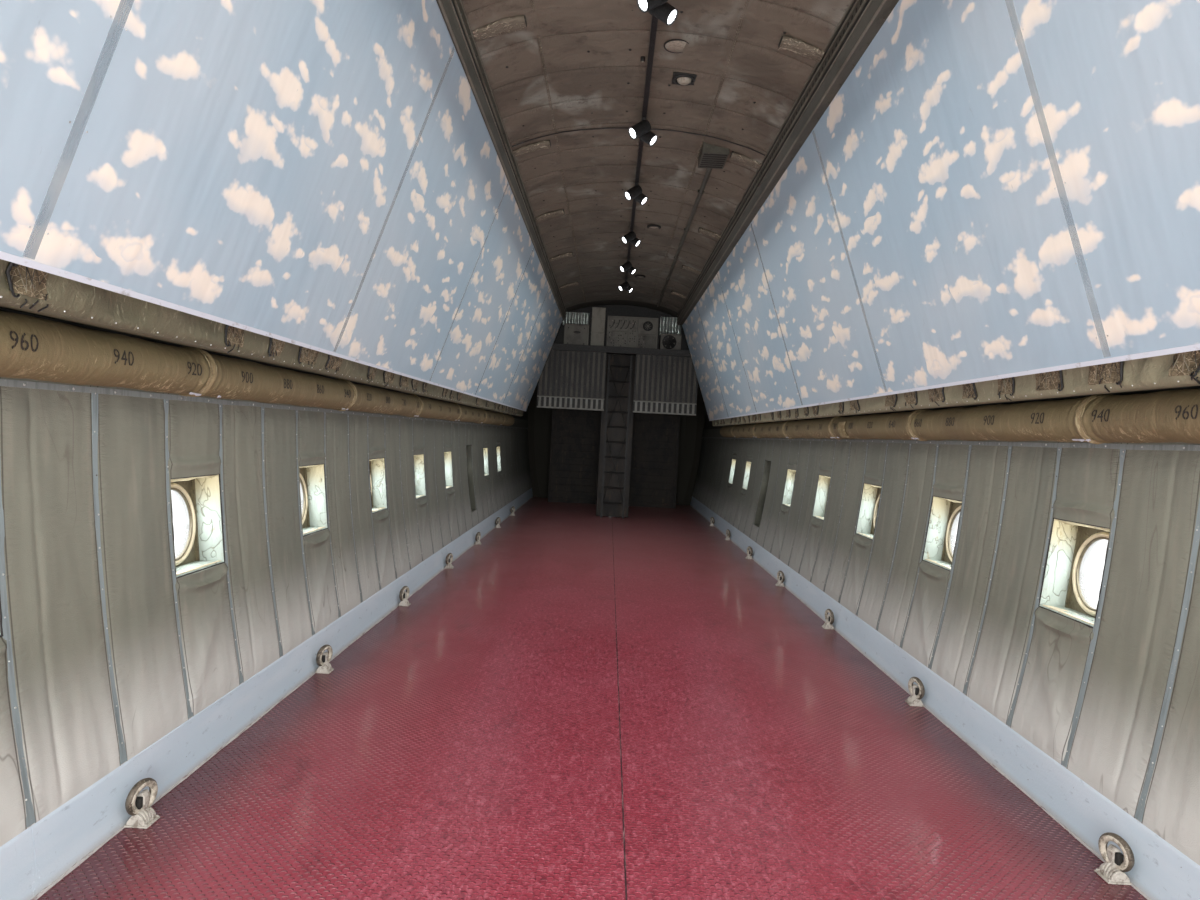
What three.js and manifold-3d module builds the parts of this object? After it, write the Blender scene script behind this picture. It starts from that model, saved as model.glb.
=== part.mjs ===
// Cargo hold section of a four-engined military transport plane: a straight length of
// fuselage with its floor, quilted wall lining, round windows, escape hatches, air ducts,
// sloping upper panels, lined ceiling, flight-deck end and nose doors.
// Millimetres, +X right, +Y forward, +Z up. The origin is on the aft face of the aft frame.
import * as THREE from 'three';
import { mergeVertices } from 'three/addons/utils/BufferGeometryUtils.js';
import Module from 'manifold-3d';

const wasm = await Module();
wasm.setup();

// Driving dimensions
const FRAME_PITCH = 508;
const FRAME_COUNT = 42;
const LENGTH = FRAME_PITCH * FRAME_COUNT;
const FLOOR = 100;
const WALL_X = 2180;
const SIDE_R = 8650;
const STRAIGHT_LOW = 2000;
const STRAIGHT_TOP = 2300;
const SHOULDER_R = 1895;
const CROWN_R = 3205;
const CHINE_R = 580;
const CHINE_START = -15.1;
const CHINE_END = -80;
const LINING = 20;
const SKIN = 170;
const SHEET = 60;
const GAP = 0.3;
const TAPE = 38;
const END_FRAME = 60;

// Heights above the floor
const WALL_FOOT = -150;
const WALL_HEAD = 1900;
const ROOF_EDGE_ANGLE = 60;
const SILL_TOP = 238;
const SILL_FOOT_X = 1961;
const SILL_TOP_X = 1997;
const SILL_BACK_X = 2035;
const DECK = 60;
const FLOOR_SHEET = 6;

// Windows and hatches, each one bay wide
const WINDOW_BAYS = [1, 4, 7, 10, 13, 16, 19, 22, 28, 31];
const WINDOW_LOW = 865;
const WINDOW_HIGH = 1325;
const WINDOW_R = 200;
const WINDOW_SKIN = 30;
const HATCH_BAY = 25;
const HATCH_LOW = 440;
const HATCH_HIGH = 1390;
const HATCH_THICK = 60;
const HATCH_CLEAR = 8;
const HATCH_AFT_CLEAR = 14;

// Where the sloping panels, ducts and lined ceiling end, and the flight deck starts
const HOLD_END = FRAME_PITCH * 33;

const radians = THREE.MathUtils.degToRad;
const z = (height) => FLOOR + height;
const frameY = (index) => FRAME_PITCH * index;

// The right half of the hold's cross-section: five tangent arcs from keel to crown.
// Each has its centre (x, z), its radius at the lining's face, its angles and its steps.
const arcs = (() => {
  const side = { x: WALL_X - SIDE_R, z: z(STRAIGHT_LOW), r: SIDE_R };
  const shoulder = { x: WALL_X - SHOULDER_R, z: z(STRAIGHT_TOP), r: SHOULDER_R };
  const crownAngle = Math.acos(shoulder.x / (CROWN_R - SHOULDER_R));
  const crown = { x: 0, z: shoulder.z - (CROWN_R - SHOULDER_R) * Math.sin(crownAngle), r: CROWN_R };
  const start = radians(CHINE_START);
  const end = radians(CHINE_END);
  const reach = SIDE_R - CHINE_R;
  const chine = { x: side.x + reach * Math.cos(start), z: side.z + reach * Math.sin(start), r: CHINE_R };
  const bellyReach = chine.x / Math.cos(end);
  const belly = { x: 0, z: chine.z - bellyReach * Math.sin(end), r: CHINE_R + bellyReach };
  return [
    { ...belly, from: -Math.PI / 2, to: end, steps: 3 },
    { ...chine, from: end, to: start, steps: 5 },
    { ...side, from: start, to: 0, steps: 5 },
    { ...shoulder, from: 0, to: crownAngle, steps: 10 },
    { ...crown, from: crownAngle, to: Math.PI / 2, steps: 3 },
  ];
})();
const [BELLY, SIDE, SHOULDER, CROWN] = [0, 2, 3, 4];

// A station is a place on the section: an arc and an angle on it
const keelStation = { arc: BELLY, angle: -Math.PI / 2 };
const crownStation = { arc: CROWN, angle: Math.PI / 2 };
const roofStation = { arc: SHOULDER, angle: radians(ROOF_EDGE_ANGLE) };
const sideStation = (height) => ({ arc: SIDE, angle: Math.asin((height - STRAIGHT_LOW) / SIDE_R) });
const nudged = (station, distance) => ({ ...station, angle: station.angle + distance / arcs[station.arc].r });

function pointOn(arc, angle, offset) {
  return [arc.x + (arc.r + offset) * Math.cos(angle), arc.z + (arc.r + offset) * Math.sin(angle)];
}

// A station's point at an offset outside the lining's face. It lies on the facet between
// the arc's steps, so that pieces cut at different stations still fit face to face.
function stationPoint({ arc: index, angle }, offset) {
  const arc = arcs[index];
  const step = (arc.to - arc.from) / arc.steps;
  const place = (angle - arc.from) / step;
  const whole = Math.min(arc.steps - 1, Math.max(0, Math.floor(place)));
  const [low, high] = [whole, whole + 1].map((k) => pointOn(arc, arc.from + k * step, offset));
  const share = place - whole;
  return [low[0] + (high[0] - low[0]) * share, low[1] + (high[1] - low[1]) * share];
}

// Points up the right side between two stations, at an offset outside the lining's face
function walk(from, to, offset) {
  const points = [stationPoint(from, offset)];
  for (let index = from.arc; index <= to.arc; index += 1) {
    const arc = arcs[index];
    const first = index === from.arc ? from.angle : arc.from - 1e-6;
    const last = index === to.arc ? to.angle : arc.to + 1e-6;
    const lastStep = index < to.arc && index !== SIDE ? arc.steps - 1 : arc.steps;
    for (let step = 0; step <= lastStep; step += 1) {
      const angle = arc.from + ((arc.to - arc.from) * step) / arc.steps;
      if (angle > first + 1e-7 && angle < last - 1e-7) points.push(pointOn(arc, angle, offset));
    }
  }
  return [...points, stationPoint(to, offset)];
}

const mirrored = (points) => points.map(([x, height]) => [-x, height]).reverse();
const band = (from, to, inner, outer) => [...walk(from, to, inner), ...walk(from, to, outer).reverse()];

// A curve that ends at the crown carried on down the left side, and one that starts at the keel
const arch = (points) => [...points, ...mirrored(points).slice(1)];
const cradle = (points) => [...mirrored(points), ...points.slice(1)];

// A closed outline of the whole section at an offset
function wholeSection(offset) {
  const right = walk(keelStation, crownStation, offset);
  return [...right, ...mirrored(right).slice(1, -1)];
}

// Solids: an outline of (x, z) points drawn along Y, a box between corners, and a turned bar
function prism(points, y0, y1) {
  const shape = new THREE.Shape(points.map(([x, height]) => new THREE.Vector2(x, height)));
  const geometry = new THREE.ExtrudeGeometry(shape, { depth: y1 - y0, bevelEnabled: false });
  geometry.rotateX(Math.PI / 2);
  geometry.translate(0, y1, 0);
  return geometry;
}

function block(x0, x1, y0, y1, z0, z1) {
  const geometry = new THREE.BoxGeometry(Math.abs(x1 - x0), y1 - y0, z1 - z0);
  geometry.translate((x0 + x1) / 2, (y0 + y1) / 2, (z0 + z1) / 2);
  return geometry;
}

function bar(from, to, radius, sides = 10) {
  const start = new THREE.Vector3(...from);
  const way = new THREE.Vector3(...to).sub(start);
  const geometry = new THREE.CylinderGeometry(radius, radius, way.length(), sides);
  geometry.translate(0, way.length() / 2, 0);
  const turn = new THREE.Quaternion().setFromUnitVectors(new THREE.Vector3(0, 1, 0), way.clone().normalize());
  geometry.applyQuaternion(turn);
  geometry.translate(start.x, start.y, start.z);
  return geometry;
}

function solid(geometry) {
  const bare = geometry.clone();
  bare.deleteAttribute('normal');
  bare.deleteAttribute('uv');
  const merged = mergeVertices(bare, 1e-3);
  return new wasm.Manifold(new wasm.Mesh({
    numProp: 3,
    vertProperties: new Float32Array(merged.attributes.position.array),
    triVerts: new Uint32Array(merged.index.array),
  }));
}

function geometryOf(manifold) {
  const mesh = manifold.getMesh();
  const geometry = new THREE.BufferGeometry();
  geometry.setAttribute('position', new THREE.BufferAttribute(new Float32Array(mesh.vertProperties), 3));
  geometry.setIndex(new THREE.BufferAttribute(new Uint32Array(mesh.triVerts), 1));
  geometry.computeVertexNormals();
  return geometry;
}

const join = (geometries) => geometries.map(solid).reduce((sum, next) => sum.add(next));
const cut = (body, geometries) => geometries.map(solid).reduce((left, next) => left.subtract(next), body);
const clipped = (body, geometry) => body.intersect(solid(geometry));

// A mirror image in the plane x = 0, with its faces still pointing out
function mirrorX(geometry) {
  const image = geometry.index ? geometry.toNonIndexed() : geometry.clone();
  image.deleteAttribute('normal');
  image.deleteAttribute('uv');
  const position = image.attributes.position;
  for (let corner = 0; corner < position.count; corner += 3) {
    const [a, b, c] = [0, 1, 2].map((k) => new THREE.Vector3().fromBufferAttribute(position, corner + k));
    [a, c, b].forEach((p, k) => position.setXYZ(corner + k, -p.x, p.y, p.z));
  }
  return mergeVertices(image, 1e-3);
}

// Finishes, with the colours of the real surfaces
const finish = (color, roughness, metalness = 0) => new THREE.MeshStandardMaterial({ color, roughness, metalness });
const finishes = {
  skin: finish(0x8d9296, 0.45, 0.6),
  structure: finish(0x7c8468, 0.6, 0.2),
  floor_sheet: finish(0x84303e, 0.35),
  sill: finish(0xb4bcc4, 0.5),
  lining: finish(0x8c857a, 0.9),
  duct: finish(0x7d6c4e, 0.8),
  insulation: finish(0x6d6a55, 0.9),
  sky_panel: finish(0xa9c4dc, 0.4),
  rail: finish(0x45463f, 0.6, 0.3),
  ceiling: finish(0x5f574c, 0.9),
  dark_metal: finish(0x2b2a28, 0.6, 0.3),
  equipment: finish(0x6e6c64, 0.6, 0.2),
  foil: finish(0xa6a8a4, 0.35, 0.6),
  ramp: finish(0x3a2f28, 0.7),
};

const hold = new THREE.Group();
hold.name = 'hold_section';

function place(name, shape, slot) {
  const geometry = shape.isBufferGeometry ? shape : geometryOf(shape);
  const mesh = new THREE.Mesh(geometry, finishes[slot]);
  mesh.name = name;
  hold.add(mesh);
  return mesh;
}

function placePair(name, shape, slot) {
  const right = shape.isBufferGeometry ? shape : geometryOf(shape);
  place(`${name}_right`, right, slot);
  place(`${name}_left`, mirrorX(right), slot);
}

// End frames: rings as deep as the wall, webbed below the floor
const sillNotch = (y0, y1) => [1, -1].map((side) => block(
  side * (SILL_FOOT_X - 60), side * SILL_BACK_X, y0 - 10, y1 + 10, z(-GAP), z(SILL_TOP)));

function endFrame(y0, y1) {
  const disc = solid(prism(wholeSection(SKIN), y0, y1));
  const floorLine = z(-FLOOR_SHEET - DECK - 2 * GAP);
  const opening = clipped(
    solid(prism(wholeSection(LINING), y0 - 10, y1 + 10)),
    block(-3000, 3000, y0 - 20, y1 + 20, floorLine, z(6000)));
  return cut(disc.subtract(opening), sillNotch(y0, y1));
}

function buildFrames() {
  place('aft_frame', endFrame(0, END_FRAME), 'structure');
  place('front_frame', endFrame(LENGTH - END_FRAME, LENGTH), 'structure');
}

// Floor: a deck with keel webs and cross beams, two sheets meeting at the centre seam, and
// a surround: the strips that the tie-down brackets stand on and the floor of the nose
const SHEET_EDGE_X = 1885;
const SHEET_END_Y = FRAME_PITCH * 33.5;
const KEEL_WEBS = [-1300, -650, 650, 1300];
const BEAM_DEPTH = 130;
const BEAM_WIDTH = 50;
const BEAM_BAYS = 4;

function buildFloor() {
  const deckTop = -FLOOR_SHEET - GAP;
  const deckFoot = deckTop - DECK;
  const y0 = END_FRAME + GAP;
  const y1 = LENGTH - END_FRAME - GAP;
  const webs = KEEL_WEBS.map((x) => block(x - 15, x + 15, y0, y1, z(-1200), z(deckFoot + 5)));
  const beams = [];
  for (let bay = BEAM_BAYS; bay < FRAME_COUNT; bay += BEAM_BAYS) {
    const y = frameY(bay);
    beams.push(block(-2200, 2200, y - BEAM_WIDTH / 2, y + BEAM_WIDTH / 2, z(deckFoot - BEAM_DEPTH), z(deckFoot + 5)));
  }
  const inside = (offset) => prism(wholeSection(offset), 0, LENGTH);
  const deck = clipped(solid(block(-2200, 2200, 0, LENGTH, z(deckFoot), z(deckTop))), inside(LINING - GAP));
  const webbing = clipped(join(webs), inside(SKIN - SHEET - GAP));
  const cross = clipped(join(beams), inside(LINING - GAP));
  place('floor_structure', deck.add(webbing).add(cross), 'structure');
  const layer = [z(-FLOOR_SHEET), z(0)];
  placePair('floor_sheet', block(GAP, SHEET_EDGE_X, 0, SHEET_END_Y, ...layer), 'floor_sheet');
  const strips = [-1, 1].map((side) => block(
    side * (SHEET_EDGE_X + GAP), side * (SILL_FOOT_X - GAP), 0, LENGTH, ...layer));
  const nose = block(-SHEET_EDGE_X - 10, SHEET_EDGE_X + 10, SHEET_END_Y + GAP, LENGTH, ...layer);
  place('floor_surround', join([...strips, nose]), 'floor_sheet');
}

// Outer shell: belly, side walls, upper walls and roof
const windowStation = sideStation((WINDOW_LOW + WINDOW_HIGH) / 2);
const bayEnds = (bay, aft = TAPE / 2, forward = TAPE / 2) => [frameY(bay) + aft, frameY(bay + 1) - forward];

function windowPocket(bay, outer) {
  const [y0, y1] = bayEnds(bay);
  return prism(band(sideStation(WINDOW_LOW), sideStation(WINDOW_HIGH), -30, outer), y0, y1);
}

function windowHole(bay, sides = 20) {
  const y = frameY(bay) + FRAME_PITCH / 2;
  const ends = [60, 260].map((offset) => {
    const [x, height] = pointOn(arcs[SIDE], windowStation.angle, offset);
    return [x, y, height];
  });
  return bar(ends[0], ends[1], WINDOW_R, sides);
}

function hatchOpening(outer) {
  const [y0, y1] = bayEnds(HATCH_BAY);
  return prism(band(sideStation(HATCH_LOW), sideStation(HATCH_HIGH), -30, outer), y0, y1);
}

function buildShell() {
  const y0 = END_FRAME + GAP;
  const y1 = LENGTH - END_FRAME - GAP;
  const foot = sideStation(WALL_FOOT);
  const head = sideStation(WALL_HEAD);
  const wall = solid(prism(band(foot, head, LINING, SKIN), y0, y1));
  const openings = [
    ...WINDOW_BAYS.map((bay) => windowPocket(bay, SKIN - WINDOW_SKIN)),
    ...WINDOW_BAYS.map((bay) => windowHole(bay)),
    hatchOpening(SKIN + 30),
    sillNotch(y0, y1)[0],
  ];
  placePair('side_wall', cut(wall, openings), 'skin');
  placePair('upper_wall', prism(band(nudged(head, GAP), nudged(roofStation, -GAP), LINING, SKIN), y0, y1), 'skin');
  const roofOuter = arch(walk(roofStation, crownStation, SKIN));
  const roofInner = arch(walk(roofStation, crownStation, LINING));
  place('roof', prism([...roofOuter, ...roofInner.reverse()], y0, y1), 'skin');
  const under = nudged(foot, -GAP);
  const bellyOuter = cradle(walk(keelStation, under, SKIN));
  const bellyInner = cradle(walk(keelStation, under, SKIN - SHEET));
  place('belly_skin', prism([...bellyOuter, ...bellyInner.reverse()], y0, y1), 'skin');
}

// Wall lining: quilted fabric from the sill up to the ducts, open at windows and hatches
function buildLining() {
  const outline = band(sideStation(SILL_TOP - 10), nudged(sideStation(WALL_HEAD), -GAP), 0, LINING - GAP);
  const openings = [
    ...WINDOW_BAYS.map((bay) => windowPocket(bay, SKIN)), hatchOpening(SKIN), sillNotch(0, LENGTH)[0],
  ];
  placePair('wall_lining', cut(solid(prism(outline, 0, LENGTH)), openings), 'lining');
}

// Sills with their tie-down rings, one every four frames
const RING_FRAMES = [1, 5, 9, 13, 17, 21, 25, 29, 33];
const RING_R = 58;
const RING_STOCK = 10;
const RING_HEIGHT = 84;
const RING_X = 1918;

function buildSills() {
  const outline = [
    [SILL_FOOT_X, z(0)], [SILL_TOP_X, z(SILL_TOP - GAP)],
    [SILL_BACK_X - GAP, z(SILL_TOP - GAP)], [SILL_BACK_X - GAP, z(0)],
  ];
  const parts = [prism(outline, 0, LENGTH)];
  for (const frame of RING_FRAMES) {
    const y = frameY(frame);
    const ring = new THREE.TorusGeometry(RING_R, RING_STOCK, 5, 12);
    ring.rotateY(Math.PI / 2);
    ring.rotateY(radians(-8));
    ring.translate(RING_X, y, z(RING_HEIGHT));
    parts.push(ring);
    parts.push(block(RING_X - 22, SILL_FOOT_X + 20, y - 30, y + 30, z(1), z(46)));
  }
  placePair('sill', join(parts), 'sill');
}

// Air ducts, with a sleeve at every third frame
const DUCT_R = 106;
const DUCT_SLEEVE_R = 110;
const DUCT_HEIGHT = 1817;
const DUCT_WALL_CLEAR = 5.3;
const DUCT_X = WALL_X - DUCT_WALL_CLEAR - DUCT_SLEEVE_R;
const DUCT_SLEEVE = 150;

function buildDucts() {
  const profile = [new THREE.Vector2(0, 0), new THREE.Vector2(DUCT_R, 0)];
  for (let frame = 3; frame < 33; frame += 6) {
    const y = frameY(frame) + FRAME_PITCH / 2;
    profile.push(new THREE.Vector2(DUCT_R, y - DUCT_SLEEVE / 2 - 20));
    profile.push(new THREE.Vector2(DUCT_SLEEVE_R, y - DUCT_SLEEVE / 2));
    profile.push(new THREE.Vector2(DUCT_SLEEVE_R, y + DUCT_SLEEVE / 2));
    profile.push(new THREE.Vector2(DUCT_R, y + DUCT_SLEEVE / 2 + 20));
  }
  profile.push(new THREE.Vector2(DUCT_R, HOLD_END));
  profile.push(new THREE.Vector2(0, HOLD_END));
  const duct = new THREE.LatheGeometry(profile, 12);
  duct.translate(DUCT_X, 0, z(DUCT_HEIGHT));
  placePair('air_duct', solid(duct), 'duct');
}

// Sloping sky panels, their rails at the ceiling and the insulation below their lower edges
const PANEL_LOW = [1756, 2009];
const PANEL_TOP = [1142, 3796];
const PANEL_THICK = 35;
const RAIL_INNER_X = 1040;
const RAIL_OUTER_X = 1180;
const RAIL_REBATE = 6;

function buildPanels() {
  const slope = new THREE.Vector2(PANEL_TOP[0] - PANEL_LOW[0], PANEL_TOP[1] - PANEL_LOW[1]).normalize();
  const out = new THREE.Vector2(slope.y, -slope.x).multiplyScalar(PANEL_THICK);
  const back = (height) => PANEL_LOW[0] + out.x + ((height - PANEL_LOW[1] - out.y) * slope.x) / slope.y;
  const panel = [
    [PANEL_LOW[0], z(PANEL_LOW[1])], [PANEL_TOP[0], z(PANEL_TOP[1])],
    [back(PANEL_TOP[1]), z(PANEL_TOP[1])], [PANEL_LOW[0] + out.x, z(PANEL_LOW[1] + out.y)],
  ];
  placePair('sky_panel', solid(prism(panel, 0, HOLD_END)), 'sky_panel');
  const railFoot = PANEL_TOP[1] + GAP;
  const rebateX = PANEL_TOP[0] - 1;
  const rail = [
    [RAIL_INNER_X, z(railFoot + 40)], [RAIL_INNER_X + 25, z(railFoot)], [rebateX, z(railFoot)],
    [rebateX, z(railFoot + RAIL_REBATE)], [RAIL_OUTER_X, z(railFoot + RAIL_REBATE)],
    [RAIL_OUTER_X, z(4300)], [RAIL_INNER_X, z(4300)],
  ];
  const below = prism(wholeSection(-GAP), -10, LENGTH);
  placePair('panel_rail', clipped(solid(prism(rail, 0, HOLD_END)), below), 'rail');
  const ledge = [
    [back(2030) + 0.4, z(2030)], [WALL_X + 100, z(1942)], [WALL_X + 100, z(1985)], [back(2070) + 0.4, z(2070)],
  ];
  const inWall = prism(wholeSection(LINING - GAP), -10, LENGTH);
  placePair('insulation_ledge', clipped(solid(prism(ledge, 0, HOLD_END)), inWall), 'insulation');
}

// Lined ceiling between the rails, its pipe and the spotlight track
const CEILING_EDGE = { arc: SHOULDER, angle: radians(61) };
const TRACK_START = 5900;
const TRACK_END = 14600;
const SPOT_ROWS = [6000, 7900, 9550, 11350, 13050, 14550];

function buildCeiling() {
  const outer = arch(walk(CEILING_EDGE, crownStation, LINING - GAP));
  const inner = arch(walk(CEILING_EDGE, crownStation, 0));
  const outline = [...outer, ...inner.reverse()];
  place('ceiling_lining', prism(outline, 0, HOLD_END), 'ceiling');
  const pipeX = 470;
  const pipeZ = z(4155);
  const parts = [
    bar([pipeX, 5200, pipeZ], [pipeX, 14000, pipeZ], 22),
    block(pipeX - 90, pipeX + 90, 5050, 5230, pipeZ - 60, pipeZ + 80),
  ];
  for (let y = 6500; y < 14000; y += 1500) {
    parts.push(block(pipeX - 30, pipeX + 30, y - 20, y + 20, pipeZ, pipeZ + 80));
  }
  const below = prism(wholeSection(-GAP), -10, LENGTH);
  place('ceiling_pipe', clipped(join(parts), below), 'rail');
}

function buildTrack() {
  const crownZ = arcs[CROWN].z + CROWN_R;
  const trackZ = crownZ - 60;
  const parts = [block(-18, 18, TRACK_START, TRACK_END, trackZ - 18, trackZ + 18)];
  for (let y = TRACK_START + 200; y < TRACK_END; y += 1400) {
    parts.push(block(-12, 12, y - 20, y + 20, trackZ, crownZ - 6));
  }
  for (const y of SPOT_ROWS) {
    for (const side of [-1, 1]) {
      const pivot = [side * 20, y + side * 60, trackZ - 95];
      parts.push(bar([0, y + side * 60, trackZ], pivot, 12, 6));
      parts.push(bar([side * -20, y + side * 60, trackZ - 80], [side * 130, y + side * 60, trackZ - 170], 42, 8));
    }
  }
  place('light_track', join(parts), 'dark_metal');
}

// Flight-deck end: its floor, the bulkhead and boxes above it, and header panels below
const DECK_LOW = 3240;
const DECK_HIGH = 3300;

function buildFlightDeck() {
  const y0 = HOLD_END + GAP;
  const y1 = LENGTH - END_FRAME - GAP;
  const inside = prism(wholeSection(LINING - 2 * GAP), 0, LENGTH);
  place('flight_deck_floor', clipped(solid(block(-2500, 2500, y0, y1, z(DECK_LOW), z(DECK_HIGH))), inside), 'dark_metal');
  const bulkheadY = HOLD_END + 700;
  place('flight_deck_bulkhead', clipped(
    solid(block(-2500, 2500, bulkheadY, bulkheadY + 60, z(DECK_HIGH + GAP), z(4500))), inside), 'equipment');
  const base = z(DECK_HIGH + GAP);
  const front = bulkheadY - GAP;
  place('equipment_cabinet', block(-1120, -640, front - 420, front, base, z(3760)), 'equipment');
  place('equipment_trunk', block(-600, -340, front - 260, front, base, z(4130)), 'equipment');
  place('equipment_rack', block(-290, 700, front - 380, front, base, z(3960)), 'equipment');
  place('fan_box', block(760, 1160, front - 420, front, base, z(3660)), 'equipment');
  const curtain = block(-1180, -640, front - 300, front - 60, z(3760 + GAP), z(4020));
  place('pleated_curtain_left', clipped(solid(curtain), prism(wholeSection(-2), 0, LENGTH)), 'foil');
  const other = block(740, 1180, front - 300, front - 60, z(3660 + GAP), z(4020));
  place('pleated_curtain_right', clipped(solid(other), prism(wholeSection(-2), 0, LENGTH)), 'foil');
  const headerTop = z(DECK_LOW - GAP);
  place('header_panel_left', block(-1560, -270, y0 + 60, y0 + 110, z(2100), headerTop), 'equipment');
  place('header_panel_right', block(290, 1500, y0 + 60, y0 + 110, z(2100), headerTop), 'equipment');
}

// Nose ramps stowed upright, and the ladder between them up to the flight deck
const RAMP_Y = LENGTH - 1100;

function buildNose() {
  placePair('nose_ramp', block(360, 1500, RAMP_Y, RAMP_Y + 140, z(GAP), z(2350)), 'ramp');
  const rails = [-1, 1].map((side) => block(side * 200, side * 235, HOLD_END + 500, HOLD_END + 560, z(GAP), z(DECK_LOW - GAP)));
  const rungs = [];
  for (let height = 300; height < 3100; height += 300) {
    rungs.push(bar([-215, HOLD_END + 530, z(height)], [215, HOLD_END + 530, z(height)], 16, 8));
  }
  place('nose_ladder', join([...rails, ...rungs]), 'dark_metal');
}

// Escape hatches, hinged at their forward edges and opening outward
function buildHatches() {
  const [y0, y1] = bayEnds(HATCH_BAY);
  const outline = band(
    sideStation(HATCH_LOW + HATCH_CLEAR), sideStation(HATCH_HIGH - HATCH_CLEAR), SKIN - HATCH_THICK, SKIN);
  const leaf = solid(prism(outline, y0 + HATCH_AFT_CLEAR, y1 - HATCH_CLEAR));
  placePair('escape_hatch', cut(leaf, [windowHole(HATCH_BAY)]), 'structure');
}

// Nose doors: a domed shell in two leaves, hinged at their outer edges
const DOOR_GAP = 8;
const DOOR_RINGS = [[0, 1], [160, 0.97], [320, 0.9], [450, 0.78], [540, 0.6], [600, 0.3]];
const DOOR_THICK = 70;

// A closed dome: the section's outline drawn smaller ring by ring about a height
function dome(offset, y0, depthScale) {
  const outline = wholeSection(offset);
  const middle = z(1700);
  const points = [];
  for (const [depth, scale] of DOOR_RINGS) {
    for (const [x, height] of outline) {
      points.push([x * scale, y0 + depth * depthScale, middle + (height - middle) * scale]);
    }
  }
  const count = outline.length;
  const rings = DOOR_RINGS.length;
  const foot = points.push([0, y0, middle]) - 1;
  const tip = points.push([0, y0 + DOOR_RINGS.at(-1)[0] * depthScale + 15, middle]) - 1;
  const faces = [];
  for (let k = 0; k < count; k += 1) {
    const next = (k + 1) % count;
    faces.push([foot, k, next]);
    for (let ring = 0; ring < rings - 1; ring += 1) {
      const [a, b] = [ring * count + k, ring * count + next];
      const [c, d] = [a + count, b + count];
      faces.push([a, c, b], [b, c, d]);
    }
    faces.push([(rings - 1) * count + k, tip, (rings - 1) * count + next]);
  }
  const geometry = new THREE.BufferGeometry();
  geometry.setAttribute('position', new THREE.BufferAttribute(new Float32Array(points.flat()), 3));
  geometry.setIndex(faces.flat());
  return geometry;
}

function buildDoors() {
  const y0 = LENGTH + DOOR_GAP;
  const shell = solid(dome(SKIN, y0, 1)).subtract(solid(dome(SKIN - DOOR_THICK, y0 - 1, 0.88)));
  placePair('nose_door', clipped(shell, block(DOOR_GAP / 2 + 2, 3000, y0 - 50, y0 + 900, -2000, 6000)), 'skin');
}

buildFrames();
buildFloor();
buildShell();
buildLining();
buildSills();
buildDucts();
buildPanels();
buildCeiling();
buildTrack();
buildFlightDeck();
buildNose();
buildHatches();
buildDoors();

export default hold;
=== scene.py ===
"""The looks of a transport plane's cargo hold section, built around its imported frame.

Metres, +X right, +Y forward, +Z up. The origin is on the aft frame's aft face, FLOOR below
the floor's top. A height is measured from the floor, and an offset outward from the lining's face.
"""
import math
import random

import bmesh
import bpy
import numpy as np
from mathutils import Matrix, Vector


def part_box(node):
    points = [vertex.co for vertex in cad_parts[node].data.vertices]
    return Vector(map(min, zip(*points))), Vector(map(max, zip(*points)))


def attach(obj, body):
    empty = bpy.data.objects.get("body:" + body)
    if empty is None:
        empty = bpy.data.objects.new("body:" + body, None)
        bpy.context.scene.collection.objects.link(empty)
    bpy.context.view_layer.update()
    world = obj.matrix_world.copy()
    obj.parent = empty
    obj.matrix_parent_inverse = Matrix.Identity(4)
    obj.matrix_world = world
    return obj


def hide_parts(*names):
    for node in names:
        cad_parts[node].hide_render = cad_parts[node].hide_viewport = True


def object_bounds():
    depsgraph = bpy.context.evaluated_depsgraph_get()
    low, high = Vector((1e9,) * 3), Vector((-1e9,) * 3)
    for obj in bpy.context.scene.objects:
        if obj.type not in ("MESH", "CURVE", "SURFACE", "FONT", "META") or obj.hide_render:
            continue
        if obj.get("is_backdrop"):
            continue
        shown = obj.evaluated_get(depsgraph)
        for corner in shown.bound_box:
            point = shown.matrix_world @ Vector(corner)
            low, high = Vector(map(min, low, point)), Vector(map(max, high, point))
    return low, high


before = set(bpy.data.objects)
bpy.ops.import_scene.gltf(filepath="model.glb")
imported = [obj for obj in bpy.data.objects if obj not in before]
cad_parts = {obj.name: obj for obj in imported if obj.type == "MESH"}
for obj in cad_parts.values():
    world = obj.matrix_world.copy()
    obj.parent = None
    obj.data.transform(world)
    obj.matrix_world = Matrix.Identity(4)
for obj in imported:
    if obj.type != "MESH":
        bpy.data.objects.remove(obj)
cad_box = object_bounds()

# Driving dimensions
FLOOR = 0.1
PITCH = 0.508
FRAMES = 42
LENGTH = PITCH * FRAMES
HOLD_FRAMES = 33
HOLD_END = PITCH * HOLD_FRAMES
WALL_X = 2.18
SIDE_R = 8.65
STRAIGHT_LOW = 2.0
STRAIGHT_TOP = 2.3
SHOULDER_R = 1.895
CROWN_R = 3.205
SKIN = 0.17
TAPE = 0.038
WINDOW_BAYS = (1, 4, 7, 10, 13, 16, 19, 22, 28, 31)
WINDOW_LOW = 0.865
WINDOW_HIGH = 1.325
HATCH_BAY = 25
HATCH_LOW = 0.44
HATCH_HIGH = 1.39
SILL_FOOT_X = 1.961
SILL_TOP_X = 1.997
SILL_TOP = 0.238
DUCT_X = 2.0647
DUCT_HEIGHT = 1.817
DUCT_R = 0.106
RAIL_X = {1: 1.04, -1: 1.09}
RAIL_FOOT = 3.796
RAIL_GROOVES = ((3.850, 3.890), (3.976, 4.016))
GROOVE_DEPTH = 0.008
SIDES = (("right", 1), ("left", -1))
OUTWARD = UP = (0, 0, 1)
INWARD = DOWN = (0, 0, -1)
AFT = (0, -1, 0)


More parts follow.
